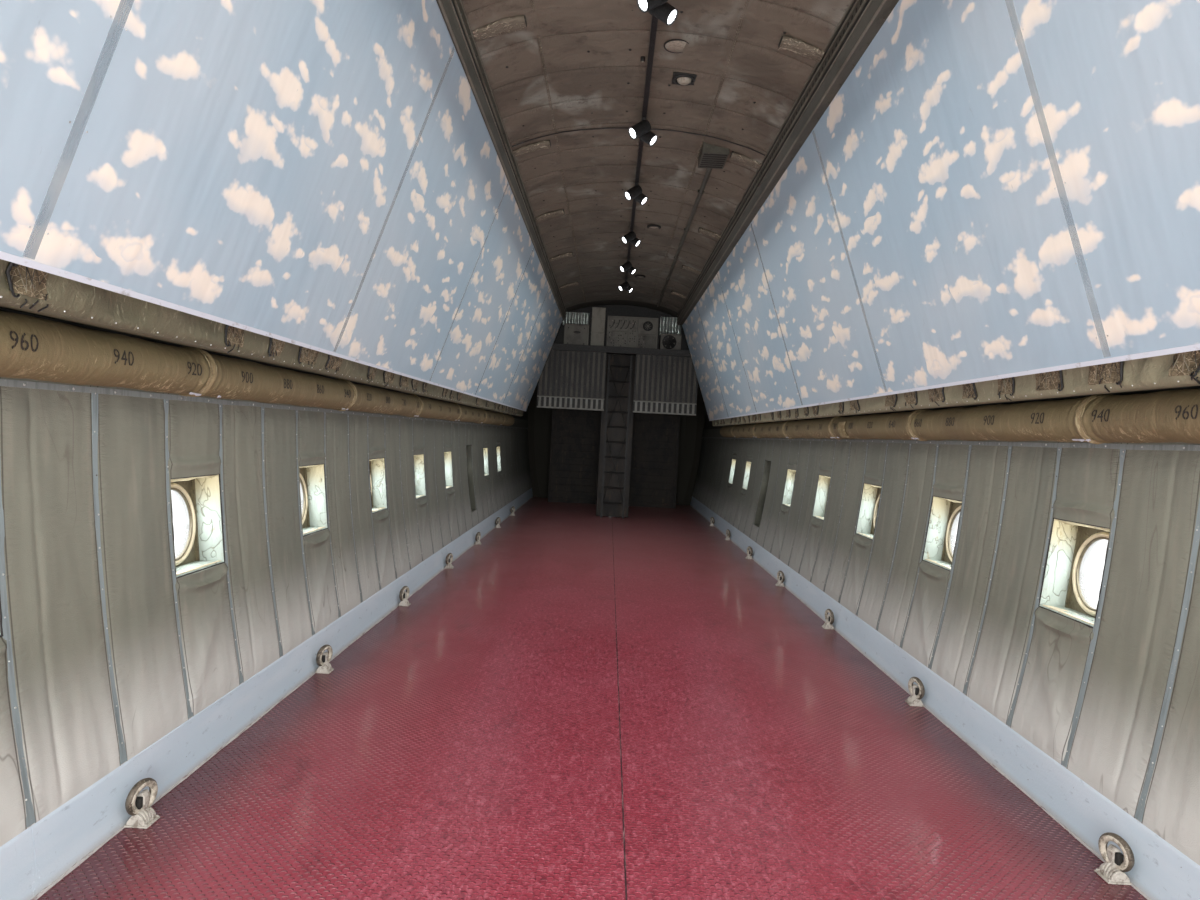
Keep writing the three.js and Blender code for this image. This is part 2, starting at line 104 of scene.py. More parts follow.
# Noise and numbers
def wobble(x, y, seed):
    """Smooth noise from -1 to 1 over two arrays, about one bump for each unit."""
    x, y = np.broadcast_arrays(np.asarray(x, float), np.asarray(y, float))
    x0, y0 = np.floor(x), np.floor(y)
    u, v = x - x0, y - y0
    u, v = u * u * (3 - 2 * u), v * v * (3 - 2 * v)

    def corner(i, j):
        spot = np.sin((x0 + i) * 12.9898 + (y0 + j) * 78.233 + seed * 37.719) * 43758.5453
        return 2 * (spot - np.floor(spot)) - 1

    low = corner(0, 0) * (1 - u) + corner(1, 0) * u
    high = corner(0, 1) * (1 - u) + corner(1, 1) * u
    return low * (1 - v) + high * v


def smooth_step(low, high, value):
    share = np.clip((value - low) / (high - low), 0, 1)
    return share * share * (3 - 2 * share)


def bump_at(value, middle, width):
    return np.exp(-(((value - middle) / width) ** 2))


def spread(*stops):
    """Numbers from stop to stop, each stop given as (value, steps to the next one)."""
    numbers = []
    for (value, steps), (following, _) in zip(stops, stops[1:]):
        numbers += [value + (following - value) * k / steps for k in range(steps)]
    return np.array(numbers + [stops[-1][0]])


def points(x, y, z):
    """Arrays of coordinates as an array of points."""
    return np.stack(np.broadcast_arrays(x, y, z), axis=-1)


# Solids, each a pair of points and faces
def loft(rings, loop=False):
    """A solid through rings of equally many points, closed on itself or capped at both ends."""
    rings = np.asarray(rings, float)
    count, sides = rings.shape[:2]
    index = np.arange(count * sides).reshape(count, sides)
    following = np.roll(index, -1, axis=1)
    faces = []
    for k in range(count if loop else count - 1):
        n = (k + 1) % count
        faces += np.stack([index[k], following[k], following[n], index[n]], axis=1).tolist()
    if not loop:
        faces += [index[0][::-1].tolist(), index[-1].tolist()]
    return rings.reshape(-1, 3), faces


def box(low, high):
    (x0, y0, z0), (x1, y1, z1) = low, high
    foot = [(x0, y0), (x1, y0), (x1, y1), (x0, y1)]
    return loft([[(x, y, z) for x, y in foot] for z in (z0, z1)])


def block(xs, ys, heights, side=1):
    """A box between two x, two y and two heights, in order, mirrored on the left side."""
    x0, x1 = sorted(side * x for x in xs)
    return box((x0, ys[0], FLOOR + heights[0]), (x1, ys[1], FLOOR + heights[1]))


def block_at(middle, half, low, high):
    """A box round a middle, by its half sizes in x and y and its reach down and up."""
    x, y, z = middle
    return box((x - half[0], y - half[1], z + low), (x + half[0], y + half[1], z + high))


def prism(section, y0, y1):
    """A section of (x, z) points drawn along Y."""
    return loft([[(x, y, z) for x, z in section] for y in (y0, y1)])


def outline(side, pairs):
    """Pairs of (x, height) as (x, z) points on a side."""
    return [(side * x, FLOOR + height) for x, height in pairs]


def sides_of(axis):
    """An axis as a unit vector, and two directions square to it and to each other."""
    axis = np.asarray(axis, float) / np.linalg.norm(axis)
    helper = (0.0, 0.0, 1.0) if abs(axis[2]) < 0.9 else (1.0, 0.0, 0.0)
    first = np.cross(axis, helper)
    first /= np.linalg.norm(first)
    return axis, first, np.cross(axis, first)


def circle(first, second, sides):
    """Unit offsets round a circle in the plane of two directions."""
    angles = np.arange(sides) * 2 * math.pi / sides
    return np.outer(np.cos(angles), first) + np.outer(np.sin(angles), second)


def tube(path, radius, sides=8, loop=False):
    path = np.asarray(path, float)
    ways = np.roll(path, -1, 0) - np.roll(path, 1, 0) if loop else np.gradient(path, axis=0)
    ways /= np.linalg.norm(ways, axis=1)[:, None]
    side = sides_of(ways[0])[1]
    rings = []
    for point, way, reach in zip(path, ways, np.broadcast_to(radius, len(path))):
        side = side - way * (side @ way)
        side /= np.linalg.norm(side)
        rings.append(point + reach * circle(side, np.cross(way, side), sides))
    return loft(rings, loop)


def turned(profile, start, axis, sides=24, loop=False):
    """A profile of (radius, distance along the axis) points turned round the axis."""
    axis, first, second = sides_of(axis)
    round_it = circle(first, second, sides)
    rings = [np.asarray(start) + axis * along + radius * round_it for radius, along in profile]
    return loft(rings, loop)


def dome(start, axis, radius, height, sides=6):
    fine = ((1.0, 0.0), (0.92, 0.5), (0.55, 0.9), (0.15, 1.0))
    coarse = ((1.0, 0.0), (0.78, 0.7), (0.30, 1.0))
    profile = [(radius * wide, height * tall) for wide, tall in (fine if sides > 6 else coarse)]
    return turned(profile, start, axis, sides)


def torus(centre, axis, radius, stock, around=24, section=8):
    _, first, second = sides_of(axis)
    return tube(np.asarray(centre) + radius * circle(first, second, around), stock, section, loop=True)


def slab(front, back, keep=None):
    """A closed sheet between two grids of points, without the cells that keep leaves out."""
    rows, columns = front.shape[0] - 1, front.shape[1] - 1
    keep = np.ones((rows, columns), bool) if keep is None else keep
    index = np.arange((rows + 1) * (columns + 1)).reshape(rows + 1, columns + 1)
    count = index.size
    r, c = np.nonzero(keep)
    corners = [index[r, c], index[r, c + 1], index[r + 1, c + 1], index[r + 1, c]]
    faces = [np.stack(corners, axis=1), np.stack(corners[::-1], axis=1) + count]
    padded = np.pad(keep, 1)
    for k, (down, along) in enumerate(((-1, 0), (0, 1), (1, 0), (0, -1))):
        edge = ~padded[r + 1 + down, c + 1 + along]
        a, b = corners[k][edge], corners[(k + 1) % 4][edge]
        faces.append(np.stack([b, a, a + count, b + count], axis=1))
    faces = np.concatenate(faces)
    corners = np.concatenate([front.reshape(-1, 3), back.reshape(-1, 3)])
    used, place = np.unique(faces, return_inverse=True)
    return corners[used], place.reshape(faces.shape).tolist()


class Shape:
    """Solids gathered into one mesh."""

    def __init__(self, *solids):
        self.points = []
        self.faces = []
        self.count = 0
        for solid in solids:
            self.add(solid)

    def add(self, solid, place=None):
        corners, faces = solid
        corners = np.asarray(corners, float).reshape(-1, 3)
        self.points.append(corners if place is None else place(corners))
        self.faces += [[corner + self.count for corner in face] for face in faces]
        self.count += len(corners)


def piece(name, shape, look_name, body="hold", replaces=(), bevel=0.0, smooth=35):
    """Makes an object of a shape, in a look, riding on a body."""
    mesh = bpy.data.meshes.new(name)
    mesh.from_pydata(np.concatenate(shape.points).tolist(), [], shape.faces)
    mesh.validate()
    thing = bpy.data.objects.new(name, mesh)
    bpy.context.scene.collection.objects.link(thing)
    bpy.context.view_layer.objects.active = thing
    thing.select_set(True)
    bpy.ops.object.mode_set(mode="EDIT")
    bpy.ops.mesh.select_all(action="SELECT")
    bpy.ops.mesh.normals_make_consistent(inside=False)
    bpy.ops.object.mode_set(mode="OBJECT")
    thing.select_set(False)
    mesh.materials.append(material(look_name))
    mesh.shade_smooth()
    mesh.set_sharp_from_angle(angle=math.radians(smooth))
    if bevel:
        rounding = thing.modifiers.new("rounding", "BEVEL")
        rounding.width = bevel
        rounding.segments = 2
        rounding.limit_method = "ANGLE"
        rounding.angle_limit = math.radians(40)
    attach(thing, body)
    if replaces:
        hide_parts(*replaces)
    return thing


# Materials
class Finish:
    """A node material with one Principled shader, its textures sized in metres.

    A colour has screen values from 0 to 255. A texture is an axis's name, the size of a weave, or
    a noise as (size, detail, roughness, distortion).
    """

    def __init__(self, name, color, roughness, **sockets):
        self.material = bpy.data.materials.new(name)
        self.material.use_nodes = True
        self.tree = self.material.node_tree
        self.shader = self.tree.nodes["Principled BSDF"]
        self.color = self.linear(color)
        sockets = {"Base_Color": self.color, "Roughness": roughness, **sockets}
        for socket, value in sockets.items():
            self.shader.inputs[socket.replace("_", " ")].default_value = value
        self.normal = None
        self.space = self.node("TexCoord").outputs["Object"]

    @staticmethod
    def linear(color):
        return (*(((c / 255 + 0.055) / 1.055) ** 2.4 for c in color), 1)

    def node(self, kind, inputs=None, **settings):
        node = self.tree.nodes.new("ShaderNode" + kind)
        for key, value in settings.items():
            setattr(node, key, value)
        for socket, value in (inputs or {}).items():
            if isinstance(value, bpy.types.NodeSocket):
                self.tree.links.new(value, node.inputs[socket])
            else:
                node.inputs[socket].default_value = value
        return node

    def scaled(self, size, turn=0.0, space=None, shift=0.0):
        """A space in features of a size, one number or one for each axis."""
        size = size if hasattr(size, "__len__") else (size, size, size)
        inputs = {
            "Vector": space or self.space, "Scale": tuple(1 / s for s in size),
            "Rotation": (0, 0, turn), "Location": (shift, shift, 0.0),
        }
        return self.node("Mapping", inputs).outputs["Vector"]

    def noise(self, size, detail=3.0, rough=0.55, distortion=0.0):
        inputs = {
            "Vector": self.scaled(size), "Scale": 1.0, "Detail": detail,
            "Roughness": rough, "Distortion": distortion,
        }
        return self.node("TexNoise", inputs).outputs["Fac"]

    def cells(self, vector, randomness=1.0):
        inputs = {"Vector": vector, "Scale": 1.0, "Randomness": randomness}
        return self.node("TexVoronoi", inputs, voronoi_dimensions="2D")

    def net(self, size):
        """The distance from the threads of a net of cells."""
        inputs = {"Vector": self.scaled(size), "Scale": 1.0}
        return self.node("TexVoronoi", inputs, feature="DISTANCE_TO_EDGE").outputs["Distance"]

    def axis(self, name):
        return self.split(self.space)[name]

    def split(self, vector):
        return self.node("SeparateXYZ", {"Vector": vector}).outputs

    def join(self, x, y, z=0.0):
        return self.node("CombineXYZ", {"X": x, "Y": y, "Z": z}).outputs["Vector"]

    def weave(self, size, first="Y", second="Z"):
        """Cells over a plane of two axes."""
        flat = self.join(self.axis(first), self.axis(second))
        return self.cells(self.vector("SCALE", flat, Scale=1 / size)).outputs["Distance"]

    def math(self, operation, first, second=0.0):
        return self.node("Math", {0: first, 1: second}, operation=operation).outputs[0]

    def vector(self, operation, first, second=(0.0, 0.0, 0.0), output="Vector", **inputs):
        inputs = {0: first, 1: second, **inputs}
        return self.node("VectorMath", inputs, operation=operation).outputs[output]

    def apart(self, value, middle):
        return self.math("ABSOLUTE", self.math("SUBTRACT", value, middle))

    def mask(self, value, low, high):
        inputs = {"Value": value, "From Min": low, "From Max": high}
        return self.node("MapRange", inputs, interpolation_type="SMOOTHSTEP").outputs["Result"]

    def between(self, share, low, high):
        return self.node("MapRange", {"Value": share, "To Min": low, "To Max": high}).outputs["Result"]

    def both(self, first, second):
        return self.math("MULTIPLY", first, second)

    def repeats(self, value, step, shift=0.0):
        """The distance from the nearest of many places a step apart."""
        share = self.math("FRACT", self.math("ADD", self.math("DIVIDE", value, step), 0.5 - shift / step))
        return self.both(self.apart(share, 0.5), step)

    def tint(self, mask, color, strength=1.0):
        """Mixes a colour over what is there, where a mask is 1."""
        factor = mask if strength == 1.0 else self.both(mask, strength)
        inputs = {0: factor, 6: self.color, 7: self.linear(color)}
        self.color = self.node("Mix", inputs, data_type="RGBA").outputs[2]

    def texture(self, kind):
        if isinstance(kind, str):
            return self.axis(kind)
        if isinstance(kind, float):
            return self.weave(kind)
        return self.noise(*kind)

    def stain(self, kind, low, high, color, strength=1.0):
        """A tint where a texture goes from low to high."""
        self.tint(self.mask(self.texture(kind), low, high), color, strength)

    def bump(self, height, depth):
        inputs = {"Height": height, "Distance": depth, "Strength": 1.0}
        if self.normal:
            inputs["Normal"] = self.normal
        self.normal = self.node("Bump", inputs).outputs["Normal"]

    def vary(self, socket, mask, low, high):
        self.tree.links.new(self.between(mask, low, high), self.shader.inputs[socket])

    def done(self):
        if isinstance(self.color, bpy.types.NodeSocket):
            self.tree.links.new(self.color, self.shader.inputs["Base Color"])
        if self.normal:
            self.tree.links.new(self.normal, self.shader.inputs["Normal"])
            self.tree.links.new(self.normal, self.shader.inputs["Coat Normal"])
        return self.material


# Looks
def look(slot, color, roughness, stains=(), relief=(), more=None, **sockets):
    """A stain is (texture, start, full, colour, strength), and relief is (texture, depth)."""
    return slot, color, roughness, stains, relief, more, sockets


def tape_look(pale, dark):
    stains = (
        # painted shade: the tapes darken from Y 4.5 to 10, towards the far end
        ("Y", 4.5, 10.0, (92, 94, 88), 0.75),
        (((0.05, 0.02, 0.25), 3), 0.45, 0.7, dark, 0.7),
        ((0.02, 3, 0.7), 0.62, 0.7, (176, 180, 174), 0.5),
    )
    return look("lining", pale, 0.6, stains, [(((0.01, 0.01, 0.05), 3), 0.0012)])


def worn_metal(slot, color, dark, bright, roughness, metallic):
    stains = (
        ((0.03, 4, 0.7), 0.46, 0.62, dark, 0.8),
        (((0.01, 0.012, 0.01), 4, 0.75), 0.58, 0.66, bright, 0.8),
    )
    return look(slot, color, roughness, stains, [((0.008, 4, 0.7), 0.0022)], Metallic=metallic)


def rail_look(paint, dark, bright):
    stains = (
        (((0.1, 0.5, 0.1), 4, 0.65), 0.42, 0.66, dark, 0.8),
        (((0.02, 0.06, 0.02), 4, 0.75), 0.60, 0.7, bright, 0.6),
    )
    return look("rail", paint, 0.5, stains, [(((0.02, 0.08, 0.02), 3), 0.002)], Metallic=0.15)


def lamp_look(strength):
    stains = [((0.01, 2), 0.4, 0.6, (237, 243, 249), 0.5)]
    glow = {"Emission_Strength": strength, "Emission_Color": (0.93, 0.97, 1.0, 1)}
    return look("dark_metal", (249, 252, 255), 0.4, stains, **glow)


def creased(noise, width, color, strength, fold, depth):
    """Creases where a noise crosses its middle, as a bump and a colour painted along each crease: painted
    shade where the colour is darker, painted highlight where it is paler.
    """
    def crease(f):
        line = f.apart(f.noise(*noise), 0.5)
        # painted shade or highlight along the crease, by the colour given
        f.tint(f.mask(line, width, 0.0), color, strength)
        f.bump(f.mask(line, fold, 0.0), depth)

    return crease


def studs_wear_and_painted_light(f):
    """Painted crescents of light on the studs, stronger near the walls, pale strokes where the floor is
    walked on, painted shade along the sills, and painted light towards the far end.
    """
    worn = f.noise((0.9, 1.4, 1), 4, 0.65)
    f.tint(f.mask(worn, 0.42, 0.72), (170, 74, 92), 0.55)
    f.stain(((0.10, 0.02, 1), 3, 0.6), 0.5, 0.75, (184, 92, 106), 0.35)
    f.stain(((0.35, 0.6, 1), 5, 0.7), 0.56, 0.7, (112, 38, 50), 0.45)
    f.stain(((0.02, 0.16, 1), 5, 0.75, 0.6), 0.68, 0.76, (216, 164, 170), 0.6)
    edge = f.math("ABSOLUTE", f.axis("X"))
    walked = f.mask(edge, 1.35, 0.75)
    strokes = f.noise((0.022, 0.060, 1), 5, 0.75, 1.0)
    f.tint(f.both(f.mask(strokes, 0.52, 0.62), walked), (206, 118, 134), 0.55)
    f.tint(f.both(f.mask(strokes, 0.47, 0.38), walked), (104, 32, 46), 0.60)
    # painted shade: darker near the sills
    f.tint(f.mask(edge, 1.45, 1.92), (72, 26, 34), 0.80)
    # painted light: paler and greyer towards the far end
    f.stain("Y", 6.0, 15.0, (166, 122, 120), 0.60)
    stud, turn, shift = 0.030, math.pi / 4, (0.0, 0.0062, 0.0)
    discs = []
    for space in (f.space, f.vector("ADD", f.space, shift)):
        discs.append(f.mask(f.cells(f.scaled(stud, turn, space), 0.0).outputs["Distance"], 0.42, 0.22))
    crescent = f.math("MAXIMUM", f.math("SUBTRACT", *discs), 0.0)
    crescent = f.both(crescent, f.between(walked, 1.6, 0.4))
    # painted glints: patches where the stud crescents are lit
    glint_patches = f.mask(f.noise((0.5, 0.9, 1), 4, 0.6), 0.40, 0.62)
    f.tint(f.both(crescent, glint_patches), (224, 154, 158), 0.50)
    f.bump(crescent, 0.0120)
    f.vary("Roughness", worn, 0.25, 0.42)


def quilting(f):
    """Dirt spots low on the lining, painted light that makes its lower part paler, painted shade towards
    the far end and along creases, painted shadow lines beside the tapes, and puckers there.
    """
    low = f.mask(f.axis("Z"), FLOOR + 0.80, FLOOR + 0.25)
    spots = f.mask(f.noise((0.06, 0.030, 0.035), 5, 0.75), 0.60, 0.66)
    where = f.mask(f.noise((0.4, 0.5, 0.3), 2), 0.48, 0.60)
    f.tint(f.both(f.both(spots, low), where), (84, 74, 64), 0.8)
    # painted light: the lining's lower part made much paler
    f.tint(low, (220, 221, 216), 0.82)
    # painted shade: darker towards the far end
    f.stain("Y", 4.5, 12.5, (90, 95, 92), 0.55)
    line = f.apart(f.noise((0.3, 0.30, 1.1), 2, 0.5, 0.4), 0.5)
    crease = f.both(f.mask(line, 0.007, 0.0), f.mask(f.noise((0.4, 0.35, 0.6), 2), 0.50, 0.60))
    # painted shade along the creases
    f.tint(crease, (104, 98, 88), 0.5)
    from_frame = f.repeats(f.axis("Y"), PITCH)
    # painted shadow: dark lines just beside each tape
    f.tint(f.mask(f.apart(from_frame, TAPE / 2 + 0.003), 0.005, 0.001), (66, 62, 55), 0.75)
    f.bump(f.both(f.noise((0.05, 0.10, 0.020), 2, 0.6, 0.6), f.mask(from_frame, 0.10, 0.03)), 0.006)


def pane_glow(f):
    """A painted glow of daylight: emission on the panes' inner faces."""
    facing = f.split(f.node("TexCoord").outputs["Normal"])["X"]
    f.vary("Emission Strength", f.mask(f.both(facing, f.axis("X")), -0.2, -0.6), 0.0, 1.3)


def duct_scuffs(f):
    low = f.mask(f.axis("Z"), FLOOR + DUCT_HEIGHT - 0.02, FLOOR + DUCT_HEIGHT - 0.09)
    patches = f.mask(f.noise((0.3, 0.35, 0.3), 2), 0.46, 0.58)
    scuffs = f.mask(f.noise((0.035, 0.030, 0.045), 5, 0.8, 0.5), 0.53, 0.60)
    f.tint(f.both(f.both(scuffs, low), patches), (214, 196, 156), 0.8)
    f.stain(((0.03, 0.02, 0.16), 5, 0.8, 0.8), 0.64, 0.71, (190, 174, 138), 0.5)
    # darker and browner towards the duct's lower side
    f.tint(low, (100, 82, 54), 0.35)


def frayed_net(f):
    """A net of frayed threads over bare brown insulation."""
    thread = f.mask(f.net((0.03, 0.035, 0.02)), 0.05, 0.02)
    f.tint(thread, (172, 158, 132), 0.8)
    f.tint(f.mask(f.net((0.05, 0.024, 0.04)), 0.035, 0.010), (44, 38, 32), 0.7)
    f.bump(thread, 0.002)


CLOUD_LAYERS = ((0.36, 0.27, 0.0, 0.30, 0.52), (0.22, 0.17, 5.3, 0.0, 0.38))


def clouds(f):
    """Pale cumulus clouds: lumpy, greyer at the foot, and longer towards the nose."""
    flat = f.join(f.both(f.math("POWER", f.axis("Y"), 0.6), 2.4), f.axis("Z"))
    lumps, tufts = (
        f.both(f.cells(f.scaled((*size, 1.0), space=flat)).outputs["Distance"], share)
        for size, share in (((0.075, 0.060), 0.20), ((0.026, 0.024), 0.07)))
    rough = f.math("ADD", lumps, tufts)
    curl = f.node("TexNoise", {"Vector": flat, "Scale": 5.0, "Detail": 1.5, "Roughness": 0.5})
    sway = f.vector("ADD", curl.outputs["Color"], (-0.5, -0.5, -0.5))
    sway = f.vector("MULTIPLY", sway, (0.9, 0.8, 0.0))
    for width, height, shift, least, most in CLOUD_LAYERS:
        field = f.vector("ADD", f.scaled((width, height, 1.0), space=flat, shift=shift), sway)
        cell = f.cells(field, 0.62).outputs
        local = f.split(f.vector("SUBTRACT", field, cell["Position"]))
        foot = f.both(f.math("MINIMUM", local["Y"], 0.0), 1.9)
        head = f.both(f.math("MAXIMUM", local["Y"], 0.0), 1.15)
        bent = f.join(f.both(local["X"], 0.85), f.math("ADD", foot, head))
        reach = f.math("ADD", f.vector("LENGTH", bent, output="Value"), rough)
        draw = f.node("SeparateColor", {"Color": cell["Color"]}).outputs["Red"]
        edge = f.math("SUBTRACT", reach, f.between(draw, least, most))
        f.tint(f.mask(edge, 0.03, -0.07), (212, 212, 212), 0.85)
        shade = f.mask(local["Y"], -0.20, 0.08)
        f.tint(f.both(f.mask(edge, 0.0, -0.12), shade), (240, 230, 216), 0.95)
    f.stain(((0.05, 0.05, 0.3), 4, 0.75), 0.66, 0.74, (128, 140, 150), 0.3)


def ceiling_seams(f):
    """Dark lines at the ceiling's frames, with gathers beside them, and painted shade towards the far end.
    """
    from_frame = f.repeats(f.axis("Y"), PITCH)
    f.tint(f.mask(from_frame, 0.020, 0.004), (66, 57, 48), 0.22)
    # painted shade: darker towards the far end
    f.stain("Y", 9.0, 16.5, (72, 75, 70), 0.5)
    f.bump(f.both(f.noise((0.03, 0.12, 0.03), 2, 0.6, 0.5), f.mask(from_frame, 0.12, 0.02)), 0.008)
    f.bump(f.noise((0.22, 0.16, 0.22), 2, 0.6, 0.6), 0.016)
    f.bump(f.weave(0.006, "X", "Y"), 0.0008)


def header_foot(f):
    """Paler paint along the header panels' foot."""
    foot = f.mask(f.axis("Z"), FLOOR + 2.33, FLOOR + 2.31)
    f.tint(foot, (118, 118, 112), 0.85)
    f.tint(f.both(foot, f.mask(f.noise((0.09, 0.05, 0.2), 4, 0.7), 0.48, 0.6)), (92, 90, 82), 0.8)


def skin_look(slot, across, inside=(60, 58, 50), middle_y=None):
    """Aluminium sheet with riveted seams outside, and dull dark paint on the faces that look inward, which
    on the nose doors is also painted shade behind the ladder.
    """
    sheet_long, sheet_wide, first_seam = PITCH * 4, 0.90, 0.05

    def riveted(f):
        along, over = f.axis("Y"), f.axis(across)
        bay = f.math("FLOOR", f.math("DIVIDE", along, sheet_long))
        strake = f.math("FLOOR", f.math("DIVIDE", f.math("SUBTRACT", over, first_seam), sheet_wide))
        sheet = {"Vector": f.join(bay, strake)}
        tone = f.node("TexWhiteNoise", sheet, noise_dimensions="2D").outputs["Value"]
        f.tint(tone, (150, 155, 160), 0.65)
        f.stain(((0.9, 1.4, 0.9), 4, 0.6), 0.40, 0.68, (168, 172, 174), 0.45)
        f.stain(((0.06, 0.3, 0.5), 4, 0.7), 0.58, 0.72, (140, 142, 142), 0.6)
        frames = f.repeats(along, PITCH)
        rows = f.repeats(over, 0.30, first_seam)
        seams = f.repeats(along, sheet_long), f.repeats(over, sheet_wide, first_seam)
        line = f.math("MAXIMUM", *(f.mask(seam, 0.006, 0.002) for seam in seams))
        ribs = f.math("MAXIMUM", f.mask(frames, 0.030, 0.010), f.mask(rows, 0.026, 0.010))
        f.tint(ribs, (158, 162, 165), 0.35)
        rivets = []
        for row, reach, way, step in ((frames, 0.016, over, 0.030), (rows, 0.014, along, 0.032)):
            beside = f.mask(f.apart(row, reach), 0.005, 0.003)
            rivets.append(f.both(beside, f.mask(f.repeats(way, step), 0.005, 0.003)))
        rivets = f.math("MAXIMUM", *rivets)
        f.tint(line, (86, 88, 88), 0.8)
        f.tint(rivets, (148, 150, 150), 0.6)
        ahead = 0.0 if middle_y is None else f.math("SUBTRACT", along, middle_y)
        out = f.join(f.axis("X"), ahead, f.math("SUBTRACT", f.axis("Z"), FLOOR + 1.7))
        facing = f.node("TexCoord").outputs["Normal"]
        inner = f.mask(f.vector("DOT_PRODUCT", out, facing, output="Value"), -0.02, -0.10)
        # dull dark paint inside, also painted shade on the nose doors behind the ladder
        f.tint(inner, inside)
        f.bump(f.math("SUBTRACT", rivets, line), 0.0012)
        f.vary("Roughness", inner, 0.38, 0.8)
        f.vary("Metallic", inner, 0.82, 0.0)

    return look(slot, (190, 194, 196), 0.36, (), [((0.5, 2), 0.008)], riveted, Metallic=0.82)


